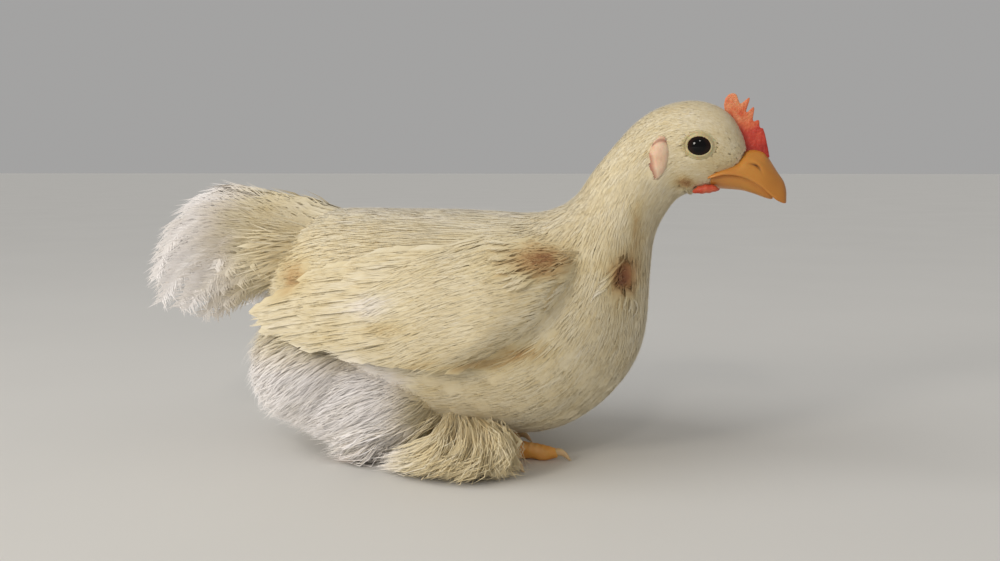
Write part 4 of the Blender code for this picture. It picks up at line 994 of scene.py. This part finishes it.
# Fluff of the belly and thighs, and the wisps round the tail's root
down = dict(silk, blunt=0.5, toneSpread=0.03, tipTone=0.06)
fluff = {
    "lock": 20, "pull": 0.35,  # down feathers to a lock, and how far their tips are drawn together
    "headingSpread": 0.16, "floor": (0.0016, 0.0014),  # lowest bend and tip, and lowest point of the curve
    "layers": [  # name, kind, and how deep the roots sink
        ("broad", under, 0.0030), ("strands", down, 0.0018), ("wisps", down, 0.0010),
    ],
    "belly": {
        "oval": ((-0.0460, 0.0, 0.0302), (0.0305, 0.0370, 0.0258)),
        "lie": (-1, 0, -0.60), "span": (-150, 150, -50, 88),  # heading, and degrees round and up
        "hug": 0.30,  # share of the way back to the oval that the down lies
        "broad": (1500, 0.0110, 0.0034, 0.04, 0.10),  # count, length, width, lift and droop
        "strands": (15500, 0.0115, 0.00042, 0.14, 0.12), "wisps": (1300, 0.0140, 0.00024, 0.34, 0.10),
    },
    "thigh": {
        "oval": ((-0.0280, -0.0246, 0.0220), (0.0265, 0.0114, 0.0172)),
        "lie": (-1, -0.05, -0.35), "span": (0, 180, -60, 85), "hug": 0.45,
        "broad": (600, 0.0105, 0.0032, 0.04, 0.08),
        "strands": (5800, 0.0110, 0.00042, 0.12, 0.10), "wisps": (700, 0.0130, 0.00024, 0.30, 0.10),
    },
    "rump": {
        "oval": ((-0.0635, 0.0, 0.0700), (0.0200, 0.0165, 0.0125)),
        "lie": (-1, 0, -0.12), "span": (-150, 150, -85, 85), "hug": 0.1,
        "broad": (500, 0.0180, 0.0036, 0.04, 0.03), "strands": (4600, 0.0200, 0.00050, 0.10, 0.05),
    },
    "plume": {  # under the tail's plumes
        "oval": ((-0.0860, 0.0, 0.0730), (0.0190, 0.0120, 0.0130)),
        "lie": (-1, 0, -0.20), "span": (-180, 180, -85, 85), "hug": 0.1,
        "broad": (420, 0.0140, 0.0034, 0.04, 0.05), "strands": (2600, 0.0160, 0.00044, 0.10, 0.05),
    },
}


def ovalTract(part, layer, spec, sink):
    at, size = (np.array(value, float) for value in part["oval"])
    count, length, width, lift, droop = part[layer]
    start, end, low, high = (math.radians(value) for value in part["span"])
    turn = rng.uniform(start, end, count)
    level = np.arcsin(rng.uniform(math.sin(low), math.sin(high), count))
    sphere = np.stack([-np.cos(turn) * np.cos(level), -np.sin(turn) * np.cos(level), np.sin(level)], -1)
    out = unit(sphere / size)
    back = np.array(part["lie"], float)
    ahead = unit(back - out * (out @ back)[:, None] + rng.normal(0, fluff["headingSpread"], out.shape))
    lengths = (length * rng.uniform(0.75, 1.2, count))[:, None]
    root = at + sphere * size - out * sink
    bend = root + (out * lift + ahead * 0.45) * lengths
    end = root + (out * lift * 0.55 + ahead + np.array((0, 0, -droop))) * lengths
    locks = KDTree(count // fluff["lock"])
    for i in range(count // fluff["lock"]):
        locks.insert(root[i * fluff["lock"]], i)
    locks.balance()
    mate = fluff["lock"] * np.array([locks.find(point)[1] for point in root])
    end += (end[mate] - end) * fluff["pull"]
    bend += (bend[mate] - bend) * fluff["pull"] / 2
    lowestEnd, lowest = fluff["floor"]
    for points in (bend, end):
        away = (points - at) / size
        points += (unit(away) - away) * size * part["hug"] * (np.linalg.norm(away, axis=1, keepdims=True) > 1)
        points[:, 2] = np.maximum(points[:, 2], lowestEnd)
    curve = bentLine(root, bend, end, quarters[None])
    curve[..., 2] = np.maximum(curve[..., 2], lowest)
    ups = unit(out[:, None] + np.array((0, 0, 0.5)) * quarters[None, :, None])
    return curve, ups, width * rng.uniform(0.8, 1.2, count), spec


def fluffTracts(*parts):
    return [
        ovalTract(fluff[part], layer, spec, sink)
        for part in parts for layer, spec, sink in fluff["layers"] if layer in fluff[part]
    ]


coatPiece("coat_belly", fluffTracts("belly"))
coatPiece("coat_rump", fluffTracts("rump", "plume"))
coatPiece("coat_thigh_right", fluffTracts("thigh"))
coatPiece("coat_thigh_left", [mirroredTract(tract) for tract in fluffTracts("thigh")])


# Bill: the upper half has a low hook and a nostril slit under a soft flap; the lower half shuts into it
bill = {
    "upper": [  # x, lower edge, upper edge, half width
        (0.0815, 0.0944, 0.0960, 0.0086), (0.0840, 0.0950, 0.0977, 0.0094), (0.0870, 0.0957, 0.0989, 0.0090),
        (0.0905, 0.0955, 0.1002, 0.0080), (0.0925, 0.0949, 0.1026, 0.0074), (0.0945, 0.0942, 0.1040, 0.0068),
        (0.0985, 0.0917, 0.1034, 0.0056), (0.1008, 0.0896, 0.1003, 0.0046), (0.1030, 0.0878, 0.0968, 0.0036),
        (0.1050, 0.0869, 0.0939, 0.0027), (0.1058, 0.0869, 0.0914, 0.0018), (0.1060, 0.0874, 0.0898, 0.0008),
    ],
    "lower": [
        (0.0825, 0.0916, 0.0950, 0.0082), (0.0870, 0.0913, 0.0961, 0.0074), (0.0920, 0.0909, 0.0958, 0.0056),
        (0.0960, 0.0898, 0.0945, 0.0042), (0.0990, 0.0887, 0.0924, 0.0031), (0.1008, 0.0882, 0.0908, 0.0020),
        (0.1018, 0.0882, 0.0896, 0.0006),
    ],
    "stations": 30, "sides": 32, "shut": 0.0004, "inside": 0.86,  # the flat side's rise and width
    "nostril": ((0.0967, 0.0986), (0.0032, -0.0022), 0.0017, 0.00030),  # middle, run, half length, half width
    "flap": (0.0024, 0.0009, 0.0008),  # half length, place over the slit, half width
    "ledge": (0.0009, 0.0006),  # the ridge along the cutting edge: height over it, half width
    "relief": (0.00045, 0.0011, 0.00018),  # how far the flap stands, the slit sinks and the ledge stands
}


def billRings(rows, flatTop):
    x, low, high, half = (smoothRows(rows, bill["stations"])[:, i, None] for i in range(4))
    angle = 2 * np.pi * np.arange(bill["sides"]) / bill["sides"]
    rise = np.sin(angle)[None] * (-1 if flatTop else 1)  # above 0 on the rounded side
    rounded = np.abs(rise) ** 0.85
    height = np.where(rise > 0, (high - low) * rounded, bill["shut"] * rounded)
    z = high - height if flatTop else low + height
    y = np.cos(angle)[None] * half * np.where(rise < -0.05, bill["inside"], 1)
    return np.stack([np.broadcast_to(x, z.shape), y, z], -1)


upperBill = ringForm("bill_upper_horn", billRings(bill["upper"], False))
lowerBill = ringForm("bill_lower_horn", billRings(bill["lower"], True))
for half in (upperBill, lowerBill):
    applyModifier(half, "SUBSURF", levels=2, render_levels=2)

points = vertsOf(upperBill)
middle, run, reach, thin = bill["nostril"]
run = np.array(run) / np.linalg.norm(run)
off = points[:, [0, 2]] - np.array(middle)
u, v = off @ run, off @ np.array((-run[1], run[0]))
outer = np.clip(np.abs(points[:, 1]) / 0.004, 0, 1) ** 2
groove = np.exp(-(u / reach) ** 2 - ((v + 0.22 * u ** 2 / reach) / thin) ** 2) * outer
flapLong, flapUp, flapWide = bill["flap"]
flap = np.exp(-(u / flapLong) ** 2 - ((v - flapUp) / flapWide) ** 2) * outer
cuttingEdge = np.interp(points[:, 0], [row[0] for row in bill["upper"]], [row[1] for row in bill["upper"]])
ledgeUp, ledgeWide = bill["ledge"]
ledge = np.exp(-((points[:, 2] - cuttingEdge - ledgeUp) / ledgeWide) ** 2) * outer
stands, sinks, edgeStands = bill["relief"]
points[:, 1] += np.sign(points[:, 1]) * (stands * flap - sinks * groove + edgeStands * ledge)
setVerts(upperBill, points)
# painted shade in the nostril slit; a darker band round the lower half's root
setPointValues(upperBill, "crease", groove)
setPointValues(lowerBill, "crease", np.exp(-((vertsOf(lowerBill)[:, 0] - 0.083) / 0.003) ** 2) * 0.3)
finishPiece(upperBill, billHorn, ["bill_upper"])
finishPiece(lowerBill, billHorn, ["bill_lower"])


# Comb: a small single comb with a round lobe behind and four points in front of it
comb = {
    "outline": [  # x and z in mm in the plane of symmetry
        (86.3, 115.9), (86.0, 118.0), (86.4, 120.0), (87.6, 121.3), (89.0, 121.6), (90.0, 120.9),
        (90.5, 119.2), (91.1, 118.0), (92.5, 119.2), (94.0, 120.3), (93.9, 119.2), (92.9, 116.2),
        (92.6, 114.8), (94.1, 116.3), (95.3, 117.4), (95.4, 116.3), (95.0, 113.6), (95.1, 112.4),
        (96.1, 112.9), (96.9, 113.3), (97.1, 112.0), (97.1, 110.4), (98.2, 110.6), (98.9, 108.6),
        (99.5, 106.1), (100.1, 103.4), (100.5, 101.4), (97.5, 100.0), (94.0, 100.6), (91.6, 103.5),
        (90.4, 106.5), (88.6, 109.8), (87.2, 113.0),
    ],
    "thick": 0.0034, "foot": (0.093, 0.103), "reach": 0.024, "thinnest": 0.36, "voxel": 0.00032,
    "warts": 0.00009, "lean": 0.0007,  # how far they stand, and how far the top leans
}

bpy.ops.object.select_all(action="DESELECT")
bpy.ops.mesh.primitive_circle_add(vertices=len(comb["outline"]), fill_type="NGON")
combForm = bpy.context.object
combForm.name = "comb_skin"
outline = np.array(comb["outline"]) / 1000
setVerts(combForm, np.stack([outline[:, 0], np.full(len(outline), -comb["thick"] / 2), outline[:, 1]], -1))
thicken = {"TRANSFORM_OT_translate": {"value": (0, comb["thick"], 0)}}
editWhole(combForm, extrude_region_move=thicken, normals_make_consistent={"inside": False})
applyModifier(combForm, "REMESH", mode="VOXEL", voxel_size=comb["voxel"])
points = vertsOf(combForm)
away = np.hypot(points[:, 0] - comb["foot"][0], points[:, 2] - comb["foot"][1])
points[:, 1] *= np.clip(1.15 - away / comb["reach"], comb["thinnest"], 1)
setVerts(combForm, points)
applyModifier(combForm, "SMOOTH", factor=0.5, iterations=5)
points = vertsOf(combForm)
x, y, z = points.T
wave = np.sin(x * 2300 + 3 * np.sin(z * 1400)) * np.sin(z * 2600 + 2 * np.sin(x * 1700))
y += np.sign(y) * comb["warts"] * wave * np.clip(np.abs(y) / 0.0003, 0, 1)
y += comb["lean"] * np.sin((z - 0.104) * 260) * np.clip((z - 0.106) / 0.010, 0, 1)
setVerts(combForm, points)
finishPiece(combForm, combSkin, ["comb"])


# Eyes and lids
eye = {
    "at": (0.0793, 0.0078, 0.1048), "radius": 0.0056, "opening": (0.0039, 0.0032), "slant": -6,
    "lid": [  # distance out from the opening's rim, height over the eyeball, both in mm
        (-0.35, -0.35), (-0.30, 0.10), (-0.12, 0.36), (0.15, 0.44), (0.42, 0.30), (0.58, 0.12), (0.76, 0.28),
        (1.10, 0.22), (1.50, -0.10), (1.90, -0.80), (1.50, -1.40), (0.80, -1.30), (0.00, -1.00),
    ],
    "face": (0.0038, 0.16, 0.6),  # its height, its fall to the front, and mm over which the lid joins it
    "sides": 72, "upperLid": 1.15,
}


def lidRings():
    rx, rz = eye["opening"]
    slant = math.radians(eye["slant"])
    level, fall, blend = eye["face"]
    rings = []
    for phi in 2 * np.pi * np.arange(eye["sides"]) / eye["sides"]:
        rim = rx * rz / math.hypot(rz * math.cos(phi), rx * math.sin(phi))
        pucker = 1 + 0.05 * math.sin(9 * phi) + 0.03 * math.sin(17 * phi + 1)
        ring = []
        for out, height in eye["lid"]:
            r = rim + out / 1000 * (eye["upperLid"] if math.sin(phi) > 0 else 1.0)
            a, b = r * math.cos(phi), r * math.sin(phi)
            sphere = math.sqrt(max(eye["radius"] ** 2 - r ** 2, 0.0))
            base = sphere + max(level - fall * a - sphere, 0) * min(max(out / blend, 0), 1)
            lift = height / 1000 * (pucker if height > 0 else 1)
            across = a * math.cos(slant) - b * math.sin(slant)
            ring.append((across, base + lift, a * math.sin(slant) + b * math.cos(slant)))
        rings.append(ring)
    return np.array(rings)


# Ear lobe: a pale fold of skin with a pink crease behind it, darker with painted shade, and the wattle's red
# bud
lobe = {
    "at": (0.0668, 0.0125, 0.1011), "size": (0.0032, 0.0019, 0.0068), "lean": 8,
    "edge": [  # the fold's rear edge by height
        (-1, 0.45), (-0.8, 0.30), (0.05, -0.35), (0.35, -0.80), (1, -0.90),
    ],
    "crease": (0.9, 0.80, 0.3, 0.1, 0.08, 0.75),  # on top: depth, height, bow, middle, half width, reach
    "sink": 0.0006, "ripple": 0.00012,
}
wattle = {
    "at": (0.0812, 0.0064, 0.0914), "size": (0.0040, 0.0017, 0.0014),
    "wrinkle": 0.00010, "tilt": 0.10, "bow": 25,
}


def makeEyes(side, sideName):
    centre = np.array(eye["at"]) * np.array((1, side, 1))
    eyeBall = ball("eyeball_" + sideName, centre, [eye["radius"]] * 3, 64, 48)
    points = (vertsOf(eyeBall) - centre) / eye["radius"]
    setPointValues(eyeBall, "iris", np.hypot(points[:, 0], points[:, 2]) + (points[:, 1] * side < 0))
    finishPiece(eyeBall, eyeWet, ["eye_" + sideName])
    bpy.ops.object.select_all(action="DESELECT")
    bpy.ops.mesh.primitive_torus_add(major_segments=eye["sides"], minor_segments=len(eye["lid"]))
    lid = bpy.context.object
    lid.name = "lids_" + sideName
    rings = lidRings() * np.array((1, side, 1)) + centre
    setVerts(lid, rings.reshape(-1, 3))
    editWhole(lid, normals_make_consistent={"inside": False})
    applyModifier(lid, "SUBSURF", levels=1, render_levels=1)
    finishPiece(lid, lidSkin, [])


def makeLobe(side, sideName):
    fold = ball("earlobe_" + sideName + "_skin", (0, 0, 0), (1, 1, 1), 56, 40)
    unitPoints = vertsOf(fold)
    u, v = unitPoints[:, 0], unitPoints[:, 2]
    hollow = np.clip((np.interp(v, *zip(*lobe["edge"])) - u) / 0.5, 0, 1) * np.clip((0.5 - v) / 0.4, 0, 1)
    depth, height, bow, middle, wide, reach = lobe["crease"]
    over = depth * np.exp(-((v - height + bow * (u - middle) ** 2) / wide) ** 2) * (np.abs(u) < reach)
    # the crease takes a darker pink: the lobe's own pink with painted shade
    crease = np.clip(hollow + over, 0, 1)
    points = unitPoints * np.array(lobe["size"])
    points[:, 1] += np.sign(unitPoints[:, 1]) * (lobe["ripple"] * np.sin(9 * v) - lobe["sink"] * crease)
    points[:, 0] += points[:, 2] * math.tan(math.radians(lobe["lean"]))
    setVerts(fold, points + np.array(lobe["at"]) * np.array((1, side, 1)))
    setPointValues(fold, "crease", crease)
    finishPiece(fold, lobeSkin, ["earlobe_" + sideName])


def makeWattle(side, sideName):
    bud = ball("wattle_" + sideName + "_skin", (0, 0, 0), (1, 1, 1), 40, 28)
    points = vertsOf(bud)
    wrinkle = wattle["wrinkle"] * np.sin(points[:, 0] * 11 + 2 * points[:, 2])[:, None] * points
    points = points * np.array(wattle["size"]) + wrinkle
    points[:, 2] += wattle["tilt"] * points[:, 0] - wattle["bow"] * points[:, 0] ** 2
    setVerts(bud, points + np.array(wattle["at"]) * np.array((1, side, 1)))
    finishPiece(bud, wattleSkin, ["wattle_" + sideName])


for sideName, side in (("right", -1), ("left", 1)):
    makeEyes(side, sideName)
for sideName, side in (("right", -1), ("left", 1)):
    makeLobe(side, sideName)
    makeWattle(side, sideName)
print("face made")


# Legs: scaled shanks and toes flat on the floor, claws, and muffs of stringy feathers
leg = {
    "hock": (-0.032, -0.0235, 0.0042), "toeRoot": (0.0, -0.0110, 0.0046), "shank": 0.0044,
    "shankRows": [  # place from hock to toes, and share of the radius
        (-0.14, 0.45), (-0.07, 0.85), (0.03, 1.0), (0.3, 0.82), (0.7, 0.82), (1.0, 1.05), (1.1, 0.8),
    ],
    "foot": (0.0055, -0.0095, 0.0), "ball": (0.0056, 0.0056, 0.0040), "voxel": 0.00034,
    "toes": [  # name, degrees towards the midline, length, radius
        ("middle", 3, 0.0290, 0.0032), ("inner", 35, 0.0155, 0.0025), ("outer", -35, 0.0215, 0.0027),
        ("back", 128, 0.0105, 0.0023),
    ],
    "scute": 0.0021, "pad": 0.0075,  # lengths of a scute and of a pad
    "scuteHeight": (0.10, 0.16), "padHeight": 0.09,  # shares of the shank's and the toe's radius
    "clawLength": 0.0058, "claw": 0.0014, "clawDrop": 0.0030,
    "clawShares": [(0, 0.75), (0.15, 1.0), (0.4, 0.85), (0.75, 0.5), (0.95, 0.16), (1, 0.03)],
    "farShift": (-0.018, 0.004, 0),
}


def tube(line, radii, sides, scute=0.0, pad=0.0):  # rings round a line, scutes above and pads below
    line, radii = np.array(line), np.array(radii)
    ahead = unit(np.gradient(line, axis=0))
    across = unit(np.cross(ahead, np.array((0, 0, 1))))
    rise = np.cross(across, ahead)
    run = np.concatenate([[0], np.cumsum(np.linalg.norm(np.diff(line, axis=0), axis=1))])
    angle = 2 * np.pi * np.arange(sides) / sides
    top = np.clip((np.sin(angle) - 0.15) / 0.5, 0, 1)[None]
    below = np.clip((-np.sin(angle) - 0.1) / 0.6, 0, 1)[None]
    tooth = (run / leg["scute"]) % 1
    ridge = scute * top * (np.clip(tooth * 5, 0, 1) * (1 - 0.75 * tooth) - 0.3)[:, None]
    cushions = pad * below * np.sin(2 * np.pi * run / leg["pad"])[:, None]
    wide = radii[:, None] * (1 + ridge + cushions)
    return (line[:, None] + across[:, None] * (np.cos(angle)[None, :, None] * wide[..., None])
            + rise[:, None] * (np.sin(angle)[None, :, None] * wide[..., None]))


def standOnFloor(obj):
    points = vertsOf(obj)
    points[:, 2] = np.maximum(points[:, 2], 0)
    setVerts(obj, points)


def finishPair(obj, node, ending, material):  # the right-hand piece and its twin further back
    twin = mirroredPiece(obj, node + "_left" + ending, leg["farShift"])
    finishPiece(obj, material, [node + "_right"])
    finishPiece(twin, material, [node + "_left"])


def makeShank():
    hock, toeRoot = np.array(leg["hock"]), np.array(leg["toeRoot"])
    rows = smoothRows(leg["shankRows"], 60)
    line = hock + (toeRoot - hock) * rows[:, :1]
    shank = ringForm("shank_right_skin", tube(line, rows[:, 1] * leg["shank"], 28, leg["scuteHeight"][0]))
    standOnFloor(shank)
    finishPair(shank, "shank", "_skin", scaleSkin)


def makeToe(digit, degrees, length, radius):  # the toe, and its claw finished by itself
    turn = math.radians(degrees)
    ahead, up = np.array((math.cos(turn), math.sin(turn), 0)), np.array((0, 0, 1))
    t = np.linspace(0, 1, 64)
    thick = radius * (1 - 0.20 * t) * np.sqrt(np.clip(1 - ((t - 0.72) / 0.33).clip(0) ** 2, 0.10, 1))
    height = np.maximum(thick * 0.92, radius * 0.75) + 0.0018 * (1 - t) ** 1.5
    line = np.array(leg["foot"]) + ahead * (length * t)[:, None] + up * height[:, None]
    toe = ringForm("toe_" + digit, tube(line, thick, 24, leg["scuteHeight"][1], leg["padHeight"]))
    t = np.linspace(0, 1, 18)
    radii = leg["claw"] * np.interp(t, *zip(*leg["clawShares"]))
    height = radius * 0.72 + leg["clawDrop"] * (0.25 * np.sin(np.pi * t) + 0.12 - t ** 2)
    start = np.array(leg["foot"]) + ahead * (length - 0.0012)
    line = start + ahead * (leg["clawLength"] * t)[:, None] + up * height[:, None]
    line[:, 2] = np.maximum(line[:, 2], radii + 0.0002)
    claw = ringForm("claw_" + digit + "_right_horn", tube(line, radii, 16))
    finishPair(claw, "claw_" + digit, "_horn", clawHorn)
    return toe


makeShank()
toes = [makeToe(*row) for row in leg["toes"]]
foot = ball("foot_right_skin", np.array(leg["foot"]) + np.array((0, 0, leg["ball"][2])), leg["ball"])
joinForms(foot, toes)
applyModifier(foot, "REMESH", mode="VOXEL", voxel_size=leg["voxel"])
applyModifier(foot, "SMOOTH", factor=0.5, iterations=1)
standOnFloor(foot)
finishPair(foot, "foot", "_skin", scaleSkin)

string = dict(silk, steps=5, blunt=0.4, toneShift=-0.05, toneSpread=0.05, tipTone=0.04)
muff = {
    "locks": [  # places in mm of four points from root to tip
        ((-18.8, -24, 11.7), (-19.3, -30, 9.1), (-23.6, -30, 4.8), (-30.9, -25.5, 0.7)),
        ((-1.9, -24, 17.2), (-6.7, -30, 13.3), (-14.2, -27, 6.7), (-23.0, -21, 1.3)),
        ((0.8, -26, 14.5), (0.7, -36, 9.5), (-4.9, -40, 5.7), (-18.4, -33.5, 0.8)),
        ((2.6, -25, 18.7), (4.4, -37, 12.7), (2.4, -43, 7.1), (-6.3, -39, 0.7)),
        ((4.3, -24, 17.9), (9.7, -36, 13.1), (9.6, -43, 7.7), (0.5, -39.5, 0.8)),
        ((6.5, -22, 17.6), (14.0, -35, 12.8), (15.0, -42, 6.6), (7.2, -41, 0.7)),
        ((8.4, -20, 16.9), (18.0, -32, 13.7), (21.6, -36, 8.6), (18.6, -37, 0.7)),
        ((7.6, -22, 15.7), (17.2, -34, 12.2), (18.4, -36, 5.7), (23.0, -32, 1.1)),
        ((4.2, -19, 16.0), (9.6, -21, 15.5), (13.4, -21, 13.8), (15.7, -17, 9.9)),
        ((-1.9, -24, 18.9), (-8.4, -30, 17.9), (-17.0, -32, 14.5), (-24.5, -31, 9.0)),
        ((3.2, -27, 17.2), (2.8, -38, 14.1), (-1.6, -40, 9.2), (-14.0, -34, 3.3)),
        ((9.2, -18, 15.5), (18.2, -26, 14.1), (21.8, -29, 8.6), (23.2, -29, 0.9)),
        ((-14.0, -29, 13.3), (-20.8, -34, 12.7), (-28.9, -34, 9.5), (-37.7, -28, 3.8)),
        ((-18.7, -28, 10.0), (-22.3, -33, 8.4), (-27.7, -32, 5.0), (-35.4, -26, 0.7)),
    ],
    "layers": [  # inwards, count, width and kind: broad blades between two layers of strings
        (1.2, 12, 0.0012, under), (0, 140, 0.00025, string), (1, 140, 0.00025, string),
    ],
    "spread": (1.5, 1.5, 2.1, 2.8), "inner": (0.8, 3.0, 2.2, 0.6), "curl": 2.4,  # mm
    "stray": (0.60, 0.45), "floor": (0.5, 1.5),  # shares of the spread, and mm above the floor
    "out": (0, -0.85, 0.53), "outSpread": 0.2,  # the way the strings face
}


def lockTract(lock, inner, count, width, spec):
    guide = np.array(lock, float) + np.array((0, inner, 0)) * np.array(muff["inner"])[:, None]
    lockStray, pointStray = muff["stray"]
    own = rng.normal(0, lockStray, (count, 1, 3)) + rng.normal(0, pointStray, (count, 4, 3))
    curve = guide + own * np.array(muff["spread"])[:, None]
    curl = rng.normal(0, muff["curl"], (count, 1))
    curve[:, 3] += curl * np.array((1, 0.5, 0))
    curve[:, 2] -= curl * np.array((0.5, 0, 0.3))
    curve[..., 2] = np.maximum(curve[..., 2], rng.uniform(*muff["floor"], (count, 4)))
    ahead = unit(np.gradient(curve, axis=1))
    out = np.array(muff["out"]) + rng.normal(0, muff["outSpread"], (count, 1, 3))
    ups = unit(out - ahead * (out * ahead).sum(-1, keepdims=True))
    return curve / 1000, ups, width * rng.uniform(0.7, 1.3, count), spec


rightMuff = [lockTract(lock, *layer) for lock in muff["locks"] for layer in muff["layers"]]
coatPiece("coat_muff_right", rightMuff)
leftMuff = [mirroredTract(tract) for tract in rightMuff]
coatPiece("coat_muff_left", [(curve + np.array(leg["farShift"]), *rest) for curve, *rest in leftMuff])
print("legs made")


# Floor and soft studio light
stage = {
    "floor": [(0.3, "#E0DED9"), (0.7, "#E3E1DC")], "world": ("#EEEDEC", 0.43),
    "sun": ((50, 0, -60), 0.97, 45),  # turn in degrees, strength, spread in degrees
    "lamps": [  # place, size, power
        ((-0.42, -0.72, 0.36), 0.20, 2.4), ((0.10, -0.80, 0.62), 0.12, 0.7),
    ],
    "aim": (0, 0, 0.05), "lampColour": "#FFF8EE",
}

bpy.ops.object.select_all(action="DESELECT")
bpy.ops.mesh.primitive_plane_add(size=60)
floor = bpy.context.object
floor.name = "floor"
floorMaterial, tree, shader, place = newMaterial("paleFloor", Roughness=0.8)
grain = addNode(tree, "TexNoise", {"Scale": 6, "Detail": 4}, {"Vector": place})
addNode(tree, "ValToRGB", links={"Fac": grain}, stops=stage["floor"], into=shader["Base Color"])
floor.data.materials.append(floorMaterial)

bpy.context.scene.view_settings.view_transform = "Standard"
world = bpy.data.worlds.new("studio")
bpy.context.scene.world = world
world.use_nodes = True
background = world.node_tree.nodes["Background"]
background.inputs["Color"].default_value = linear(stage["world"][0])
background.inputs["Strength"].default_value = stage["world"][1]
turn, strength, spread = stage["sun"]
bpy.ops.object.light_add(type="SUN", rotation=[math.radians(angle) for angle in turn])
bpy.context.object.data.energy = strength
bpy.context.object.data.angle = math.radians(spread)
bpy.context.object.visible_glossy = False  # only the lamps show in the eye
for at, size, power in stage["lamps"]:
    bpy.ops.object.light_add(type="AREA", location=at)
    lamp = bpy.context.object
    lamp.rotation_euler = (Vector(stage["aim"]) - Vector(at)).to_track_quat("-Z", "Y").to_euler()
    lamp.data.shape = "DISK"
    lamp.data.size = size
    lamp.data.energy = power
    lamp.data.color = linear(stage["lampColour"])[:3]
print("stage lit")
